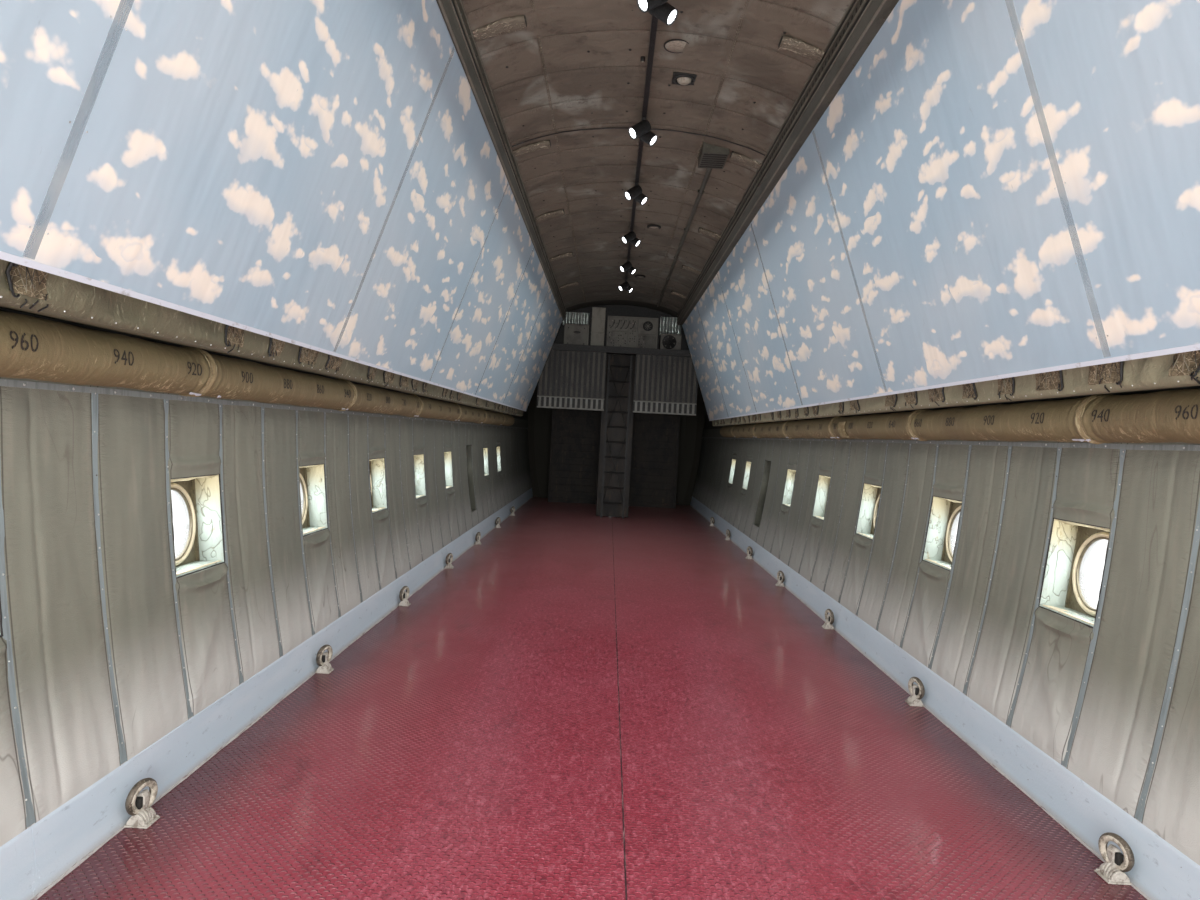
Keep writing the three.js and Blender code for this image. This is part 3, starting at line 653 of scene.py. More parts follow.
LOOKS = {
    "studded_floor": look(
        "floor_sheet", (158, 56, 72), 0.36, (), [((0.35, 1), 0.006)], studs_wear_and_painted_light,
        Specular_IOR_Level=0.30, Coat_Weight=0.45, Coat_Roughness=0.10),
    "floor_seam": look(
        "floor_sheet", (58, 20, 28), 0.6,
        [(((0.004, 0.15, 0.02), 4, 0.7), 0.52, 0.62, (190, 150, 150), 0.8)], [((0.01, 4), 0.001)]),
    "caulk": look(
        "sill", (190, 186, 184), 0.7,
        [(((0.02, 0.08, 0.02), 5, 0.7), 0.5, 0.68, (120, 84, 82), 0.7)], [((0.012, 4, 0.7), 0.003)]),
    "sill_paint": look(
        "sill", (200, 216, 228), 0.48,
        [(((0.3, 0.9, 0.12), 3, 0.6), 0.42, 0.7, (210, 222, 232), 0.8),
         (((0.05, 0.10, 0.03), 4, 0.7), 0.60, 0.72, (158, 172, 184), 0.6),
         (((0.02, 0.008, 0.15), 4, 0.8, 1.2), 0.67, 0.72, (112, 120, 130), 0.6),
         ((0.05, 3, 0.5), 0.73, 0.76, (60, 58, 62), 0.8),
         ("Z", FLOOR + 0.04, FLOOR + 0.004, (170, 160, 150), 0.5)],
        [(((0.3, 0.6, 0.2), 3), 0.006), ((0.01, 3), 0.0008)]),
    "ring_steel": worn_metal("sill", (104, 94, 82), (58, 50, 42), (160, 150, 132), 0.45, 0.35),
    "ring_paint": worn_metal("sill", (196, 188, 172), (104, 94, 80), (240, 235, 222), 0.45, 0.05),
    "bracket_casting": worn_metal("sill", (196, 190, 180), (128, 116, 104), (230, 226, 218), 0.6, 0.1),
    "lining_cloth": look(
        "lining", (129, 130, 117), 0.80,
        [(((0.9, 0.45, 1.1), 3, 0.6), 0.40, 0.68, (113, 116, 106), 0.6),
         (((0.06, 0.08, 0.8), 2, 0.5), 0.55, 0.75, (152, 147, 133), 0.4)],
        [(0.004, 0.0006), (((0.12, 0.11, 0.45), 1, 0.5), 0.012), (((0.05, 0.14, 0.05), 2, 0.6), 0.0030)],
        quilting, Specular_IOR_Level=0.25),
    "tape": tape_look((134, 147, 149), (108, 119, 121)),
    "head_tape": tape_look((136, 144, 142), (108, 116, 114)),
    "snap_metal": look(
        "lining", (205, 208, 205), 0.35,
        [((0.35, 4, 0.7), 0.58, 0.64, (70, 66, 60), 0.9)], [((0.003, 2), 0.0004)], Metallic=0.7),
    # Painted light: the reveal turns bluish-grey below its top edge, standing for skylight; painted shade
    # along its creases.
    "reveal_cloth": look(
        "lining", (196, 188, 156), 0.8,
        [("Z", FLOOR + WINDOW_HIGH - 0.03, FLOOR + WINDOW_HIGH - 0.22, (176, 188, 180)),
         (((0.05, 0.05, 0.10), 4, 0.7), 0.60, 0.7, (150, 128, 84), 0.45)],
        [(((0.03, 0.03, 0.10), 3, 0.6, 1.0), 0.005)],
        creased(((0.10, 0.10, 0.16), 2, 0.5, 0.8), 0.012, (104, 98, 76), 0.7, 0.03, -0.003),
        Specular_IOR_Level=0.0),
    "window_flange": look(
        "structure", (112, 104, 80), 0.55,
        [((0.05, 5, 0.7), 0.5, 0.7, (74, 64, 46), 0.8),
         ((0.012, 4, 0.7), 0.62, 0.7, (176, 164, 128), 0.6)], [((0.01, 4), 0.0015)]),
    "window_ring": look(
        "structure", (222, 210, 180), 0.45,
        [((0.03, 5, 0.7), 0.52, 0.7, (176, 160, 124), 0.6)], [((0.012, 3), 0.0012)]),
    # near-white panes with a painted glow of daylight from pane_glow
    "window_pane": look(
        "window_glass", (246, 249, 250), 0.12,
        [((0.09, 3, 0.7), 0.45, 0.75, (237, 241, 239), 0.6)], [((0.05, 2), 0.0008)], pane_glow,
        Alpha=0.22, Specular_IOR_Level=0.5, Emission_Color=(0.95, 0.98, 1.0, 1)),
    "duct_cloth": look(
        "duct", (123, 111, 80), 0.72,
        [(((0.5, 0.7, 0.5), 3, 0.6), 0.42, 0.7, (112, 98, 72), 0.8),
         (((0.08, 0.025, 0.3), 3, 0.6), 0.52, 0.72, (146, 130, 98), 0.55)],
        [(0.004, 0.0006), (((0.1, 0.06, 0.12), 3, 0.65, 0.5), 0.008)],
        duct_scuffs, Specular_IOR_Level=0.3),
    "duct_sleeve_cloth": look(
        "duct", (142, 126, 94), 0.75,
        [(((0.06, 0.012, 0.06), 5, 0.7, 0.5), 0.50, 0.64, (186, 174, 140), 0.8),
         (((0.05, 0.03, 0.05), 5, 0.7), 0.55, 0.7, (100, 86, 60), 0.8)],
        [(((0.06, 0.010, 0.06), 4, 0.65, 0.6), 0.006)], Specular_IOR_Level=0.3),
    "stencil_ink": look(
        "duct", (38, 31, 22), 0.7, [((0.02, 4, 0.7), 0.5, 0.7, (84, 70, 48), 0.8)], [((0.01, 3), 0.0004)]),
    "insulation_canvas": look(
        "insulation", (104, 100, 80), 0.8,
        [(((0.3, 0.4, 0.3), 3, 0.6), 0.42, 0.68, (98, 95, 74), 0.8),
         # painted light: the right side's canvas is paler than the left's
         ("X", 0.0, 1.0, (146, 141, 116), 0.6),
         (((0.03, 0.02, 0.06), 4, 0.7), 0.58, 0.7, (168, 164, 138), 0.6)],
        [(((0.05, 0.04, 0.05), 3, 0.6, 0.5), 0.008), (0.005, 0.0006)], Specular_IOR_Level=0.3),
    "insulation_netting": look(
        "insulation", (116, 104, 82), 0.9,
        [((0.06, 4, 0.7), 0.46, 0.66, (84, 73, 56), 0.8)], [((0.03, 3, 0.6), 0.008)],
        frayed_net, Specular_IOR_Level=0.2),
    "lashing_cord": look(
        "insulation", (128, 120, 102), 0.85,
        [((0.09, 3, 0.6), 0.45, 0.55, (44, 40, 34), 0.9)], [((0.004, 2), 0.001)]),
    "sky_sheet": look(
        "sky_panel", (160, 182, 197), 0.42,
        [(((1.6, 1.8, 1.2), 2), 0.35, 0.68, (178, 192, 202), 0.8),
         # painted light: paler towards the aft end
         ("Y", 3.8, 1.6, (212, 209, 200), 0.7)],
        [(((0.4, 0.12, 0.5), 2, 0.5), 0.006)], clouds, Specular_IOR_Level=0.45),
    "panel_lip": look(
        "sky_panel", (206, 212, 222), 0.5,
        [(((0.05, 0.1, 0.05), 5, 0.7), 0.55, 0.7, (130, 120, 112), 0.6)], [((0.02, 3), 0.001)]),
    "panel_tape": look(
        "sky_panel", (206, 216, 220), 0.2,
        [(((0.1, 0.01, 0.4), 3), 0.45, 0.7, (226, 232, 232), 0.7),
         (((0.3, 0.25, 0.5), 2), 0.45, 0.6, (176, 200, 216), 0.7)],
        [(((0.02, 0.008, 0.2), 3), 0.001)], Alpha=0.38),
    "rail_paint": rail_look((76, 74, 64), (56, 53, 44), (104, 98, 84)),
    # painted highlight: the lips take a paler copy of the rail paint
    "rail_lip": rail_look((118, 114, 102), (88, 82, 70), (150, 144, 130)),
    # near-black: for dark fittings, and as painted shade in the rail grooves, ring holes, pouch mouths,
    # behind the grille and in the box's slots
    "rail_groove": worn_metal("rail", (30, 28, 25), (16, 15, 13), (62, 56, 48), 0.7, 0.1),
    "ceiling_cloth": look(
        "ceiling", (108, 98, 85), 0.62,
        [(((0.6, 0.5, 0.6), 4, 0.6), 0.44, 0.62, (88, 79, 68), 0.85),
         # painted sheen: paler silvery patches
         (((0.45, 0.7, 0.45), 3, 0.6, 0.4), 0.54, 0.70, (142, 142, 132), 0.75),
         ((0.12, 4, 0.7), 0.56, 0.70, (70, 61, 52), 0.65),
         (((0.035, 0.03, 0.035), 4, 0.7), 0.66, 0.72, (52, 44, 38), 0.8),
         (((0.05, 0.02, 0.05), 4, 0.75), 0.66, 0.72, (158, 150, 134), 0.5)],
        (), ceiling_seams, Specular_IOR_Level=0.35),
    "pouch_cloth": look(
        "ceiling", (110, 101, 87), 0.7,
        [(((0.05, 0.04, 0.05), 4, 0.7), 0.48, 0.66, (84, 75, 64), 0.7)],
        [(((0.04, 0.02, 0.04), 3, 0.6, 0.8), 0.006)],
        # painted highlight: pale lines along the pouches' folds
        creased(((0.12, 0.03, 0.12), 2, 0.6, 0.9), 0.02, (204, 192, 170), 0.75, 0.05, 0.004),
        Specular_IOR_Level=0.3),
    "black_fittings": worn_metal("dark_metal", (34, 33, 32), (18, 18, 18), (70, 68, 64), 0.5, 0.3),
    "lamp_face": lamp_look(0.7),
    "lamp_bead": lamp_look(9.0),
    "dome_glass": look(
        "dark_metal", (150, 142, 128), 0.35,
        [((0.02, 4, 0.7), 0.45, 0.65, (112, 102, 88), 0.8)], [((0.01, 3), 0.001)]),
    "equipment_paint": look(
        "equipment", (106, 103, 94), 0.5,
        [((0.25, 4, 0.65), 0.45, 0.66, (80, 77, 70), 0.8),
         (((0.03, 0.03, 0.05), 4, 0.75), 0.62, 0.7, (128, 124, 112), 0.6)],
        [((0.03, 3), 0.002)], Metallic=0.1),
    "trunk_paint": look(
        "equipment", (142, 138, 126), 0.5,
        [(((0.2, 0.2, 0.3), 5, 0.65), 0.45, 0.66, (112, 107, 96), 0.8)], [((0.04, 4), 0.003)]),
    "silvery_cloth": look(
        "foil", (206, 212, 208), 0.28,
        [(((0.03, 0.03, 0.2), 3), 0.48, 0.65, (128, 130, 124), 0.8)],
        [(((0.02, 0.02, 0.08), 3), 0.003)], Metallic=0.6),
    # painted shade: a dark base colour, as the header strips stand unlit high at the far end
    "ribbed_sheet": look(
        "equipment", (64, 60, 52), 0.5,
        [(((0.3, 0.25, 0.8), 4, 0.7), 0.42, 0.60, (38, 35, 30), 0.9),
         (((0.05, 0.05, 0.2), 4, 0.7), 0.62, 0.7, (104, 98, 84), 0.5)],
        [((0.02, 3), 0.002)], header_foot, Metallic=0.2),
    "ramp_tread": look(
        "ramp", (42, 35, 28), 0.65,
        [(((0.25, 0.2, 0.4), 4, 0.7), 0.44, 0.60, (18, 16, 14), 0.9),
         (((0.08, 0.05, 0.5), 4, 0.75), 0.58, 0.7, (84, 66, 50), 0.6)], [((0.02, 5, 0.7), 0.004)]),
    "green_primer": look(
        "structure", (126, 134, 104), 0.6,
        [((0.3, 5, 0.65), 0.45, 0.66, (104, 110, 86), 0.8),
         ((0.03, 5, 0.75), 0.64, 0.72, (158, 156, 138), 0.7)], [((0.02, 4), 0.001)], Metallic=0.1),
    "hatch_paint": look(
        "hatch", (84, 86, 74), 0.55,
        [(((0.12, 0.12, 0.3), 5, 0.65), 0.45, 0.66, (58, 60, 52), 0.85),
         ((0.02, 5, 0.75), 0.62, 0.7, (140, 138, 122), 0.7)], [((0.02, 4), 0.002)]),
    "hatch_skin": skin_look("hatch", "Z", inside=(76, 78, 67)),
    "side_skin": skin_look("skin", "Z"),
    "crown_skin": skin_look("skin", "X"),
    "door_skin": skin_look("skin", "Z", middle_y=LENGTH - 0.4),
}
made = {}


def material(name):
    """A look's material, made once."""
    if name not in made:
        _, color, roughness, stains, relief, more, sockets = LOOKS[name]
        finish = Finish(name, color, roughness, **sockets)
        for stain in stains:
            finish.stain(*stain)
        if more:
            more(finish)
        for texture, depth in relief:
            finish.bump(finish.texture(texture), depth)
        made[name] = finish.done()
    return made[name]


def dress(look_name, *nodes):
    """Gives carried-over nodes a look."""
    for name in nodes:
        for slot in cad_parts[name].material_slots:
            slot.material = material(look_name)


# The section's curves
def wall_at(height, offset=0.0):
    """x and z of the right wall at a height and an offset."""
    angle = np.arcsin((np.asarray(height, float) - STRAIGHT_LOW) / SIDE_R)
    reach = SIDE_R + offset
    return WALL_X - SIDE_R + reach * np.cos(angle), FLOOR + STRAIGHT_LOW + reach * np.sin(angle)


def on_side(side, y, height, offset=0.0):
    """Points of a wall."""
    x, z = wall_at(height, offset)
    return points(side * x, y, z)


SHOULDER_X = WALL_X - SHOULDER_R
CROWN_ANGLE = math.acos(SHOULDER_X / (CROWN_R - SHOULDER_R))
CROWN_Z = FLOOR + STRAIGHT_TOP - (CROWN_R - SHOULDER_R) * math.sin(CROWN_ANGLE)
CROWN_HALF = CROWN_R * (math.pi / 2 - CROWN_ANGLE)
CROWN_TOP = CROWN_Z + CROWN_R


def on_ceiling(across, y, offset=0.0):
    """Points of the ceiling at a distance along it from the crown, right or left."""
    across = np.asarray(across, float)
    reach = np.abs(across)
    on_crown = reach <= CROWN_HALF
    crown = math.pi / 2 - reach / CROWN_R
    shoulder = CROWN_ANGLE - (reach - CROWN_HALF) / SHOULDER_R
    angle = np.where(on_crown, crown, shoulder)
    radius = np.where(on_crown, CROWN_R, SHOULDER_R) + offset
    centre_x = np.where(on_crown, 0.0, SHOULDER_X)
    centre_z = np.where(on_crown, CROWN_Z, FLOOR + STRAIGHT_TOP)
    x = np.sign(across) * (centre_x + radius * np.cos(angle))
    return points(x, y, centre_z + radius * np.sin(angle))


def on_duct(side, y, angle, reach):
    """Points round a duct's middle, the angle measured from the side facing the hold."""
    return points(side * (DUCT_X - reach * np.cos(angle)), y, FLOOR + DUCT_HEIGHT + reach * np.sin(angle))


def on_wall(side, y, height):
    """Puts (along, up, out) points on a wall: along +Y, up the wall, and out through it."""
    angle = math.asin((height - STRAIGHT_LOW) / SIDE_R)
    x, z = (float(v) for v in wall_at(height))

    def place(spots):
        along, up, out = np.asarray(spots, float).T
        across = x - up * math.sin(angle) + out * math.cos(angle)
        return points(side * across, y + along, z + up * math.cos(angle) + out * math.sin(angle))

    return place


def ribbon(lines):
    """A solid between lines of equally many points, given in order round its section."""
    return loft(np.stack(lines, axis=1))


def bolt(spot, axis, radius, tall, tip, sides=6, foot=0.0):
    """A bevelled bolt head; tip is its end's radius and the height added there."""
    return turned([(radius, foot), (radius, tall), (tip[0], tall + tip[1])], spot, axis, sides)


# Floor
def build_floor():
    dress("studded_floor", "floor_sheet_right", "floor_sheet_left", "floor_surround")
    seam = Shape(block((-0.0035, 0.0035), (0.0, PITCH * 33.5), (-0.002, 0.0012)))
    piece("floor_centre_seam", seam, "floor_seam")
    for name, side in SIDES:
        y = np.arange(0.01, LENGTH, 0.08)
        x = side * (SILL_FOOT_X - 0.003 + 0.002 * wobble(y * 3, 0, side))
        radius = 0.0062 + 0.0022 * wobble(y * 7, 3, side)
        bead = Shape(tube(points(x, y, FLOOR + 0.0015), radius, 6))
        piece(f"floor_caulk_{name}", bead, "caulk")


# Wall lining and its tapes
SEAM_SHARE = 0.30
seamed = random.Random(4)
SEAMED_BAYS = {(side, bay) for side in (1, -1) for bay in range(FRAMES) if seamed.random() < 0.45}
FINE_SHARES = (0, 0.0374, 0.10, 0.17, 0.24, 0.285, 0.30, 0.315, 0.37, 0.46, 0.56, 0.66, 0.77, 0.88, 0.9626)
COARSE_SHARES = (0, 0.0374, 0.25, 0.5, 0.75, 0.9626)


def lining_face(side, y, height):
    """The lining's offset at arrays of places: negative where it stands out into the hold."""
    bay = np.minimum(np.floor(y / PITCH + 1e-9), FRAMES - 1)
    share = y / PITCH - bay
    pillow = np.sqrt(np.clip(4 * share * (1 - share), 0, 1))
    window = np.isin(bay, WINDOW_BAYS)
    fullness = 0.013 + 0.005 * wobble(bay * 1.7, height / 0.8, side + 5)
    face = -0.002 - fullness * pillow
    face += 0.0050 * wobble(share * 3 + bay * 9.1, height / 0.55, side + 11) * pillow
    face += 0.0016 * wobble(share * 9 + bay * 5.3, height / 0.16, side + 17) * pillow
    low_fold = WINDOW_LOW - 0.070 + 0.045 * (2 * share - 1) ** 2
    high_fold = WINDOW_HIGH + 0.060 + 0.020 * wobble(share * 2.3 + bay, 0.5, side + 23)
    folds = ((low_fold, -0.022, 0.014), (low_fold + 0.032, 0.009, 0.018),
             (high_fold, -0.019, 0.016), (high_fold + 0.040, 0.008, 0.022))
    for middle, depth, width in folds:
        face += window * depth * bump_at(height, middle, width) * pillow
    diagonal = (height - 0.25) / 0.6 - share
    under = window * (height < WINDOW_LOW)
    face -= under * 0.012 * bump_at(diagonal, 0.1 * wobble(bay, 1.5, side), 0.09) * pillow
    has_seam = np.isin(bay, [b for s, b in SEAMED_BAYS if s == side]) & ~window
    gathers = np.sin(height * 2 * math.pi / 0.035 + 2 * wobble(height * 6, bay, side)) * 0.0016
    for shift, width, depth in ((0.0, 0.012, 0.005), (0.05, 0.05, gathers), (-0.05, 0.05, gathers)):
        face += has_seam * bump_at(share, SEAM_SHARE + shift, width) * depth
    flat = smooth_step(1.70, 1.62, height) * smooth_step(0.232, 0.30, height)
    return -0.002 + (face + 0.002) * flat


def build_lining(name, side):
    rows = spread((0.232, 5), (HATCH_LOW, 7), (0.72, 11), (WINDOW_LOW, 7), (WINDOW_HIGH, 5),
                  (HATCH_HIGH, 6), (1.47, 5), (1.70, 4), (1.897, 0))
    bays = [bay + np.array(FINE_SHARES if bay < HOLD_FRAMES else COARSE_SHARES) for bay in range(FRAMES)]
    columns = np.concatenate([*bays, [FRAMES]]) * PITCH
    y, height = np.meshgrid(columns, rows)
    front = on_side(side, y, height, lining_face(side, y, height))
    back = on_side(side, y, height, 0.014)
    middle_y = (columns[:-1] + columns[1:]) / 2
    middle_h = ((rows[:-1] + rows[1:]) / 2)[:, None]
    bay = np.floor(middle_y / PITCH)
    between = np.abs(middle_y / PITCH - bay - 0.5) < 0.5 - 0.037
    window = np.isin(bay, WINDOW_BAYS) & between & (middle_h > WINDOW_LOW) & (middle_h < WINDOW_HIGH)
    hatch = (bay == HATCH_BAY) & between & (middle_h > HATCH_LOW) & (middle_h < HATCH_HIGH)
    cloth = piece(f"quilted_lining_{name}", Shape(slab(front, back, ~(window | hatch))), "lining_cloth",
                  replaces=[f"wall_lining_{name}"], smooth=60)


def build_tapes(name, side):
    tapes, snaps = Shape(), Shape()
    heights = np.linspace(0.236, 1.70, 30)
    section = ((-TAPE / 2, -0.0030), (TAPE / 2, -0.0030), (TAPE / 2, 0.0), (-TAPE / 2, 0.0))
    for k in range(FRAMES + 1):
        y = min(max(k * PITCH, TAPE / 2 + 0.002), LENGTH - TAPE / 2 - 0.002)
        sway = y + 0.003 * wobble(heights * 2.5, k * 3.1, side + 2)
        ripple = 0.002 + 0.0012 * np.abs(wobble(heights * 9, k * 5.7, side))
        tapes.add(ribbon([on_side(side, sway + along, heights, out - ripple) for along, out in section]))
        draw = random.Random(k * 2 + side)
        for spot in np.arange(0.31, 1.68, 0.152):
            height = spot + draw.uniform(-0.012, 0.012)
            place = on_wall(side, y + draw.uniform(-0.006, 0.006), height)
            snaps.add(dome((0, 0, -0.005), INWARD, draw.uniform(0.0035, 0.0048), 0.003), place)
    y = np.arange(0.0, LENGTH + 0.01, PITCH / 8)
    wave = 0.002 * wobble(y * 3, 0, side)
    section = ((1.686, -0.006), (1.710, -0.006), (1.710, -0.001), (1.686, -0.001))
    y = np.minimum(y, LENGTH)
    head = Shape(ribbon([on_side(side, y, height + wave, out) for height, out in section]))
    for k in range(FRAMES * 2):
        snaps.add(dome((0, 0, -0.006), INWARD, 0.0055, 0.003), on_wall(side, (k + 0.5) * PITCH / 2, 1.698))
    piece(f"lining_tapes_{name}", tapes, "tape")
    piece(f"head_tape_{name}", head, "head_tape")
    piece(f"tape_snaps_{name}", snaps, "snap_metal", smooth=60)


# Windows
WINDOW_HALF = (PITCH - TAPE) / 2
WINDOW_TALL = (WINDOW_HIGH - WINDOW_LOW) / 2
WINDOW_MIDDLE = (WINDOW_HIGH + WINDOW_LOW) / 2
FLANGE_OUT = 0.130
PANE_R = 0.178
RING_PROFILE = ((0.181, 0.008), (0.179, -0.004), (0.182, -0.013), (0.189, -0.019), (0.197, -0.018),
                (0.203, -0.011), (0.2055, -0.003), (0.2055, 0.004))
GASKET_PROFILE = ((0.181, 0.002), (0.1815, -0.008), (0.176, -0.012), (0.171, -0.009), (0.170, 0.003))
PANE_PROFILE = ((0.001, -0.001), (PANE_R, 0.0), (PANE_R, 0.006), (0.001, 0.007))
RIM_PROFILE = ((0.196, -0.012), (0.196, 0.004), (0.203, 0.0055), (0.216, 0.0045), (0.219, 0.001),
               (0.219, -0.012))
WINDOW_LOOKS = {
    "reveals": "reveal_cloth", "flanges": "window_flange", "rings": "window_ring",
    "gaskets": "window_flange", "panes": "window_pane", "ledges": "window_ring",
    "edgings": "rail_groove", "outer_rims": "side_skin",
}


def rectangle_loop(half_wide, half_tall, per_side):
    """Points round a rectangle, in order, as (along, up)."""
    steps = np.linspace(-1, 1, per_side + 1)[:-1]
    loop = [(half_wide * t, -half_tall) for t in steps]
    loop += [(half_wide, half_tall * t) for t in steps]
    loop += [(-half_wide * t, half_tall) for t in steps]
    return loop + [(-half_wide, -half_tall * t) for t in steps]


def window_reveal(seed):
    """The cloth that lines a window's recess, creased and splayed towards the hold."""
    depth = (-0.004, 0.006, 0.035, 0.065, 0.095, FLANGE_OUT - 0.002)
    squeeze = (0.000, 0.004, 0.008, 0.010, 0.011, 0.013)
    rings = []
    for k, (along, up) in enumerate(rectangle_loop(1.0, 1.0, 14)):
        inner, outer = [], []
        for out, less in zip(depth, squeeze):
            ease = 4 * (out + 0.004) * (FLANGE_OUT - out) / FLANGE_OUT ** 2
            crease = 0.006 * float(wobble(k * 0.45 + out * 30, seed, 3)) * ease
            wide, tall = WINDOW_HALF - 0.002 - less, WINDOW_TALL - 0.002 - less
            outer.append((along * wide, up * tall, out))
            wide, tall = wide - 0.004 - crease, tall - 0.004 - crease
            inner.append((along * wide, up * tall, out))
        rings.append(inner + outer[::-1])
    return loft(rings, loop=True)


def window_flange():
    """The plate at the recess's back, from a rectangle in to the round window."""
    rings = []
    for along, up in rectangle_loop(WINDOW_HALF - 0.014, WINDOW_TALL - 0.014, 12):
        angle = math.atan2(up, along)
        inner = (0.198 * math.cos(angle), 0.198 * math.sin(angle))
        near, far = FLANGE_OUT - 0.003, FLANGE_OUT + 0.003
        rings.append([(*inner, near), (along, up, near), (along, up, far), (*inner, far)])
    return loft(rings, loop=True)


def window_solids(bay, side):
    """A window's solids, each with its kind."""
    yield "reveals", window_reveal(bay + side * 40)
    yield "flanges", window_flange()
    for way in (-1, 1):
        middle = (way * (WINDOW_HALF - 0.024), 0, FLANGE_OUT)
        yield "flanges", block_at(middle, (0.006, WINDOW_TALL - 0.016), -0.016, -0.002)
    for angle in (np.arange(18) + 0.5) * 2 * math.pi / 18:
        along, up = math.cos(angle), math.sin(angle)
        to_side = (WINDOW_HALF - 0.034) / max(abs(along), 0.01)
        to_end = (WINDOW_TALL - 0.03) / max(abs(up), 0.01)
        reach = min(0.218, to_side, to_end)
        if reach > 0.209:
            yield "flanges", dome((reach * along, reach * up, FLANGE_OUT - 0.003), INWARD, 0.005, 0.004)
    start = (0, 0, FLANGE_OUT - 0.001)
    yield "rings", turned(RING_PROFILE, start, OUTWARD, 48, True)
    yield "gaskets", turned(GASKET_PROFILE, start, OUTWARD, 40, True)
    yield "panes", turned(PANE_PROFILE, start, OUTWARD, 32)
    wide, foot = WINDOW_HALF - 0.016, -WINDOW_TALL
    yield "ledges", box((-wide, foot + 0.007, 0.004), (wide, foot + 0.014, FLANGE_OUT - 0.018))
    edge = [(along, up, -0.005) for along, up in rectangle_loop(WINDOW_HALF, WINDOW_TALL, 14)]
    yield "edgings", tube(edge, 0.0042 + 0.0012 * wobble(np.arange(len(edge)) * 1.3, bay, side), 6, True)
    yield "outer_rims", turned(RIM_PROFILE, (0, 0, SKIN), OUTWARD, 40, True)


def build_windows(name, side):
    parts = {kind: Shape() for kind in WINDOW_LOOKS}
    for bay in WINDOW_BAYS:
        place = on_wall(side, (bay + 0.5) * PITCH, WINDOW_MIDDLE)
        for kind, solid in window_solids(bay, side):
            parts[kind].add(solid, place)
    for kind, look_name in WINDOW_LOOKS.items():
        piece(f"window_{kind}_{name}", parts[kind], look_name, smooth=50)


# Sills and tie-down rings
SHEET_STEP = PITCH * 4
SILL_PROFILE = (
    (SILL_FOOT_X + 0.0006, 0.001), (SILL_FOOT_X + 0.002, 0.018), (SILL_TOP_X - 0.006, 0.214),
    (SILL_TOP_X - 0.004, 0.228), (SILL_TOP_X + 0.002, 0.2365), (2.034, 0.2372), (2.034, 0.001))
RING_FRAMES = range(1, 34, 4)
RING_R = 0.056
RING_STOCK = 0.0155
RING_HEIGHT = 0.104
RING_X = 1.918
HOOK = ((1.902, 0.034), (1.936, 0.034), (1.938, 0.096), (1.928, 0.118), (1.912, 0.122), (1.900, 0.104))
SPINE = ((1.892, 0.008), (1.936, 0.008), (1.930, 0.036), (1.898, 0.036))
CLAW = ((1.880, 0.008), (1.950, 0.008), (1.950, 0.026), (1.932, 0.056), (1.908, 0.068), (1.890, 0.050),
        (1.880, 0.026))


def sill_face(height):
    """x of the right sill's face."""
    return SILL_FOOT_X + 0.001 + (SILL_TOP_X - SILL_FOOT_X) / SILL_TOP * height


def build_sill(name, side):
    sill, joints = Shape(), Shape()
    for k in range(math.ceil(FRAMES / 4)):
        rings = []
        for y in np.linspace(k * SHEET_STEP + 0.001, min((k + 1) * SHEET_STEP, LENGTH) - 0.001, 17):
            dent = 0.0015 * float(wobble(y * 2.1, 0, side + 9))
            rings.append([(side * (x + dent * (0.03 < h < 0.22)), y, FLOOR + h) for x, h in SILL_PROFILE])
        sill.add(loft(rings))
    section = ((0.012, 0.0022), (0.205, 0.0022), (0.205, -0.002), (0.012, -0.002))
    strap = [(sill_face(height) - out, height) for height, out in section]

    def rivet(y, height, proud, size):
        spot = (side * (sill_face(height) - proud), y, FLOOR + height)
        joints.add(dome(spot, (-side, 0, 0), size, 0.0016))

    for k in range(1, math.ceil(FRAMES / 4)):
        y = k * SHEET_STEP
        joints.add(prism(outline(side, strap), y - 0.022, y + 0.022))
        for height in np.arange(0.03, 0.20, 0.024):
            for dy in (-0.013, 0.013):
                rivet(y + dy, height, 0.002, 0.0028)
    draw = random.Random(17 + side)
    for k in range(int(LENGTH / 0.127)):
        y = 0.06 + k * 0.127 + draw.uniform(-0.004, 0.004)
        rivet(y, 0.219, 0.003, 0.0026)
        rivet(y, 0.020, 0.003, 0.0024)
    piece(f"sill_plate_{name}", sill, "sill_paint", replaces=[f"sill_{name}"], smooth=30)
    piece(f"sill_joints_{name}", joints, "sill_paint", smooth=50)


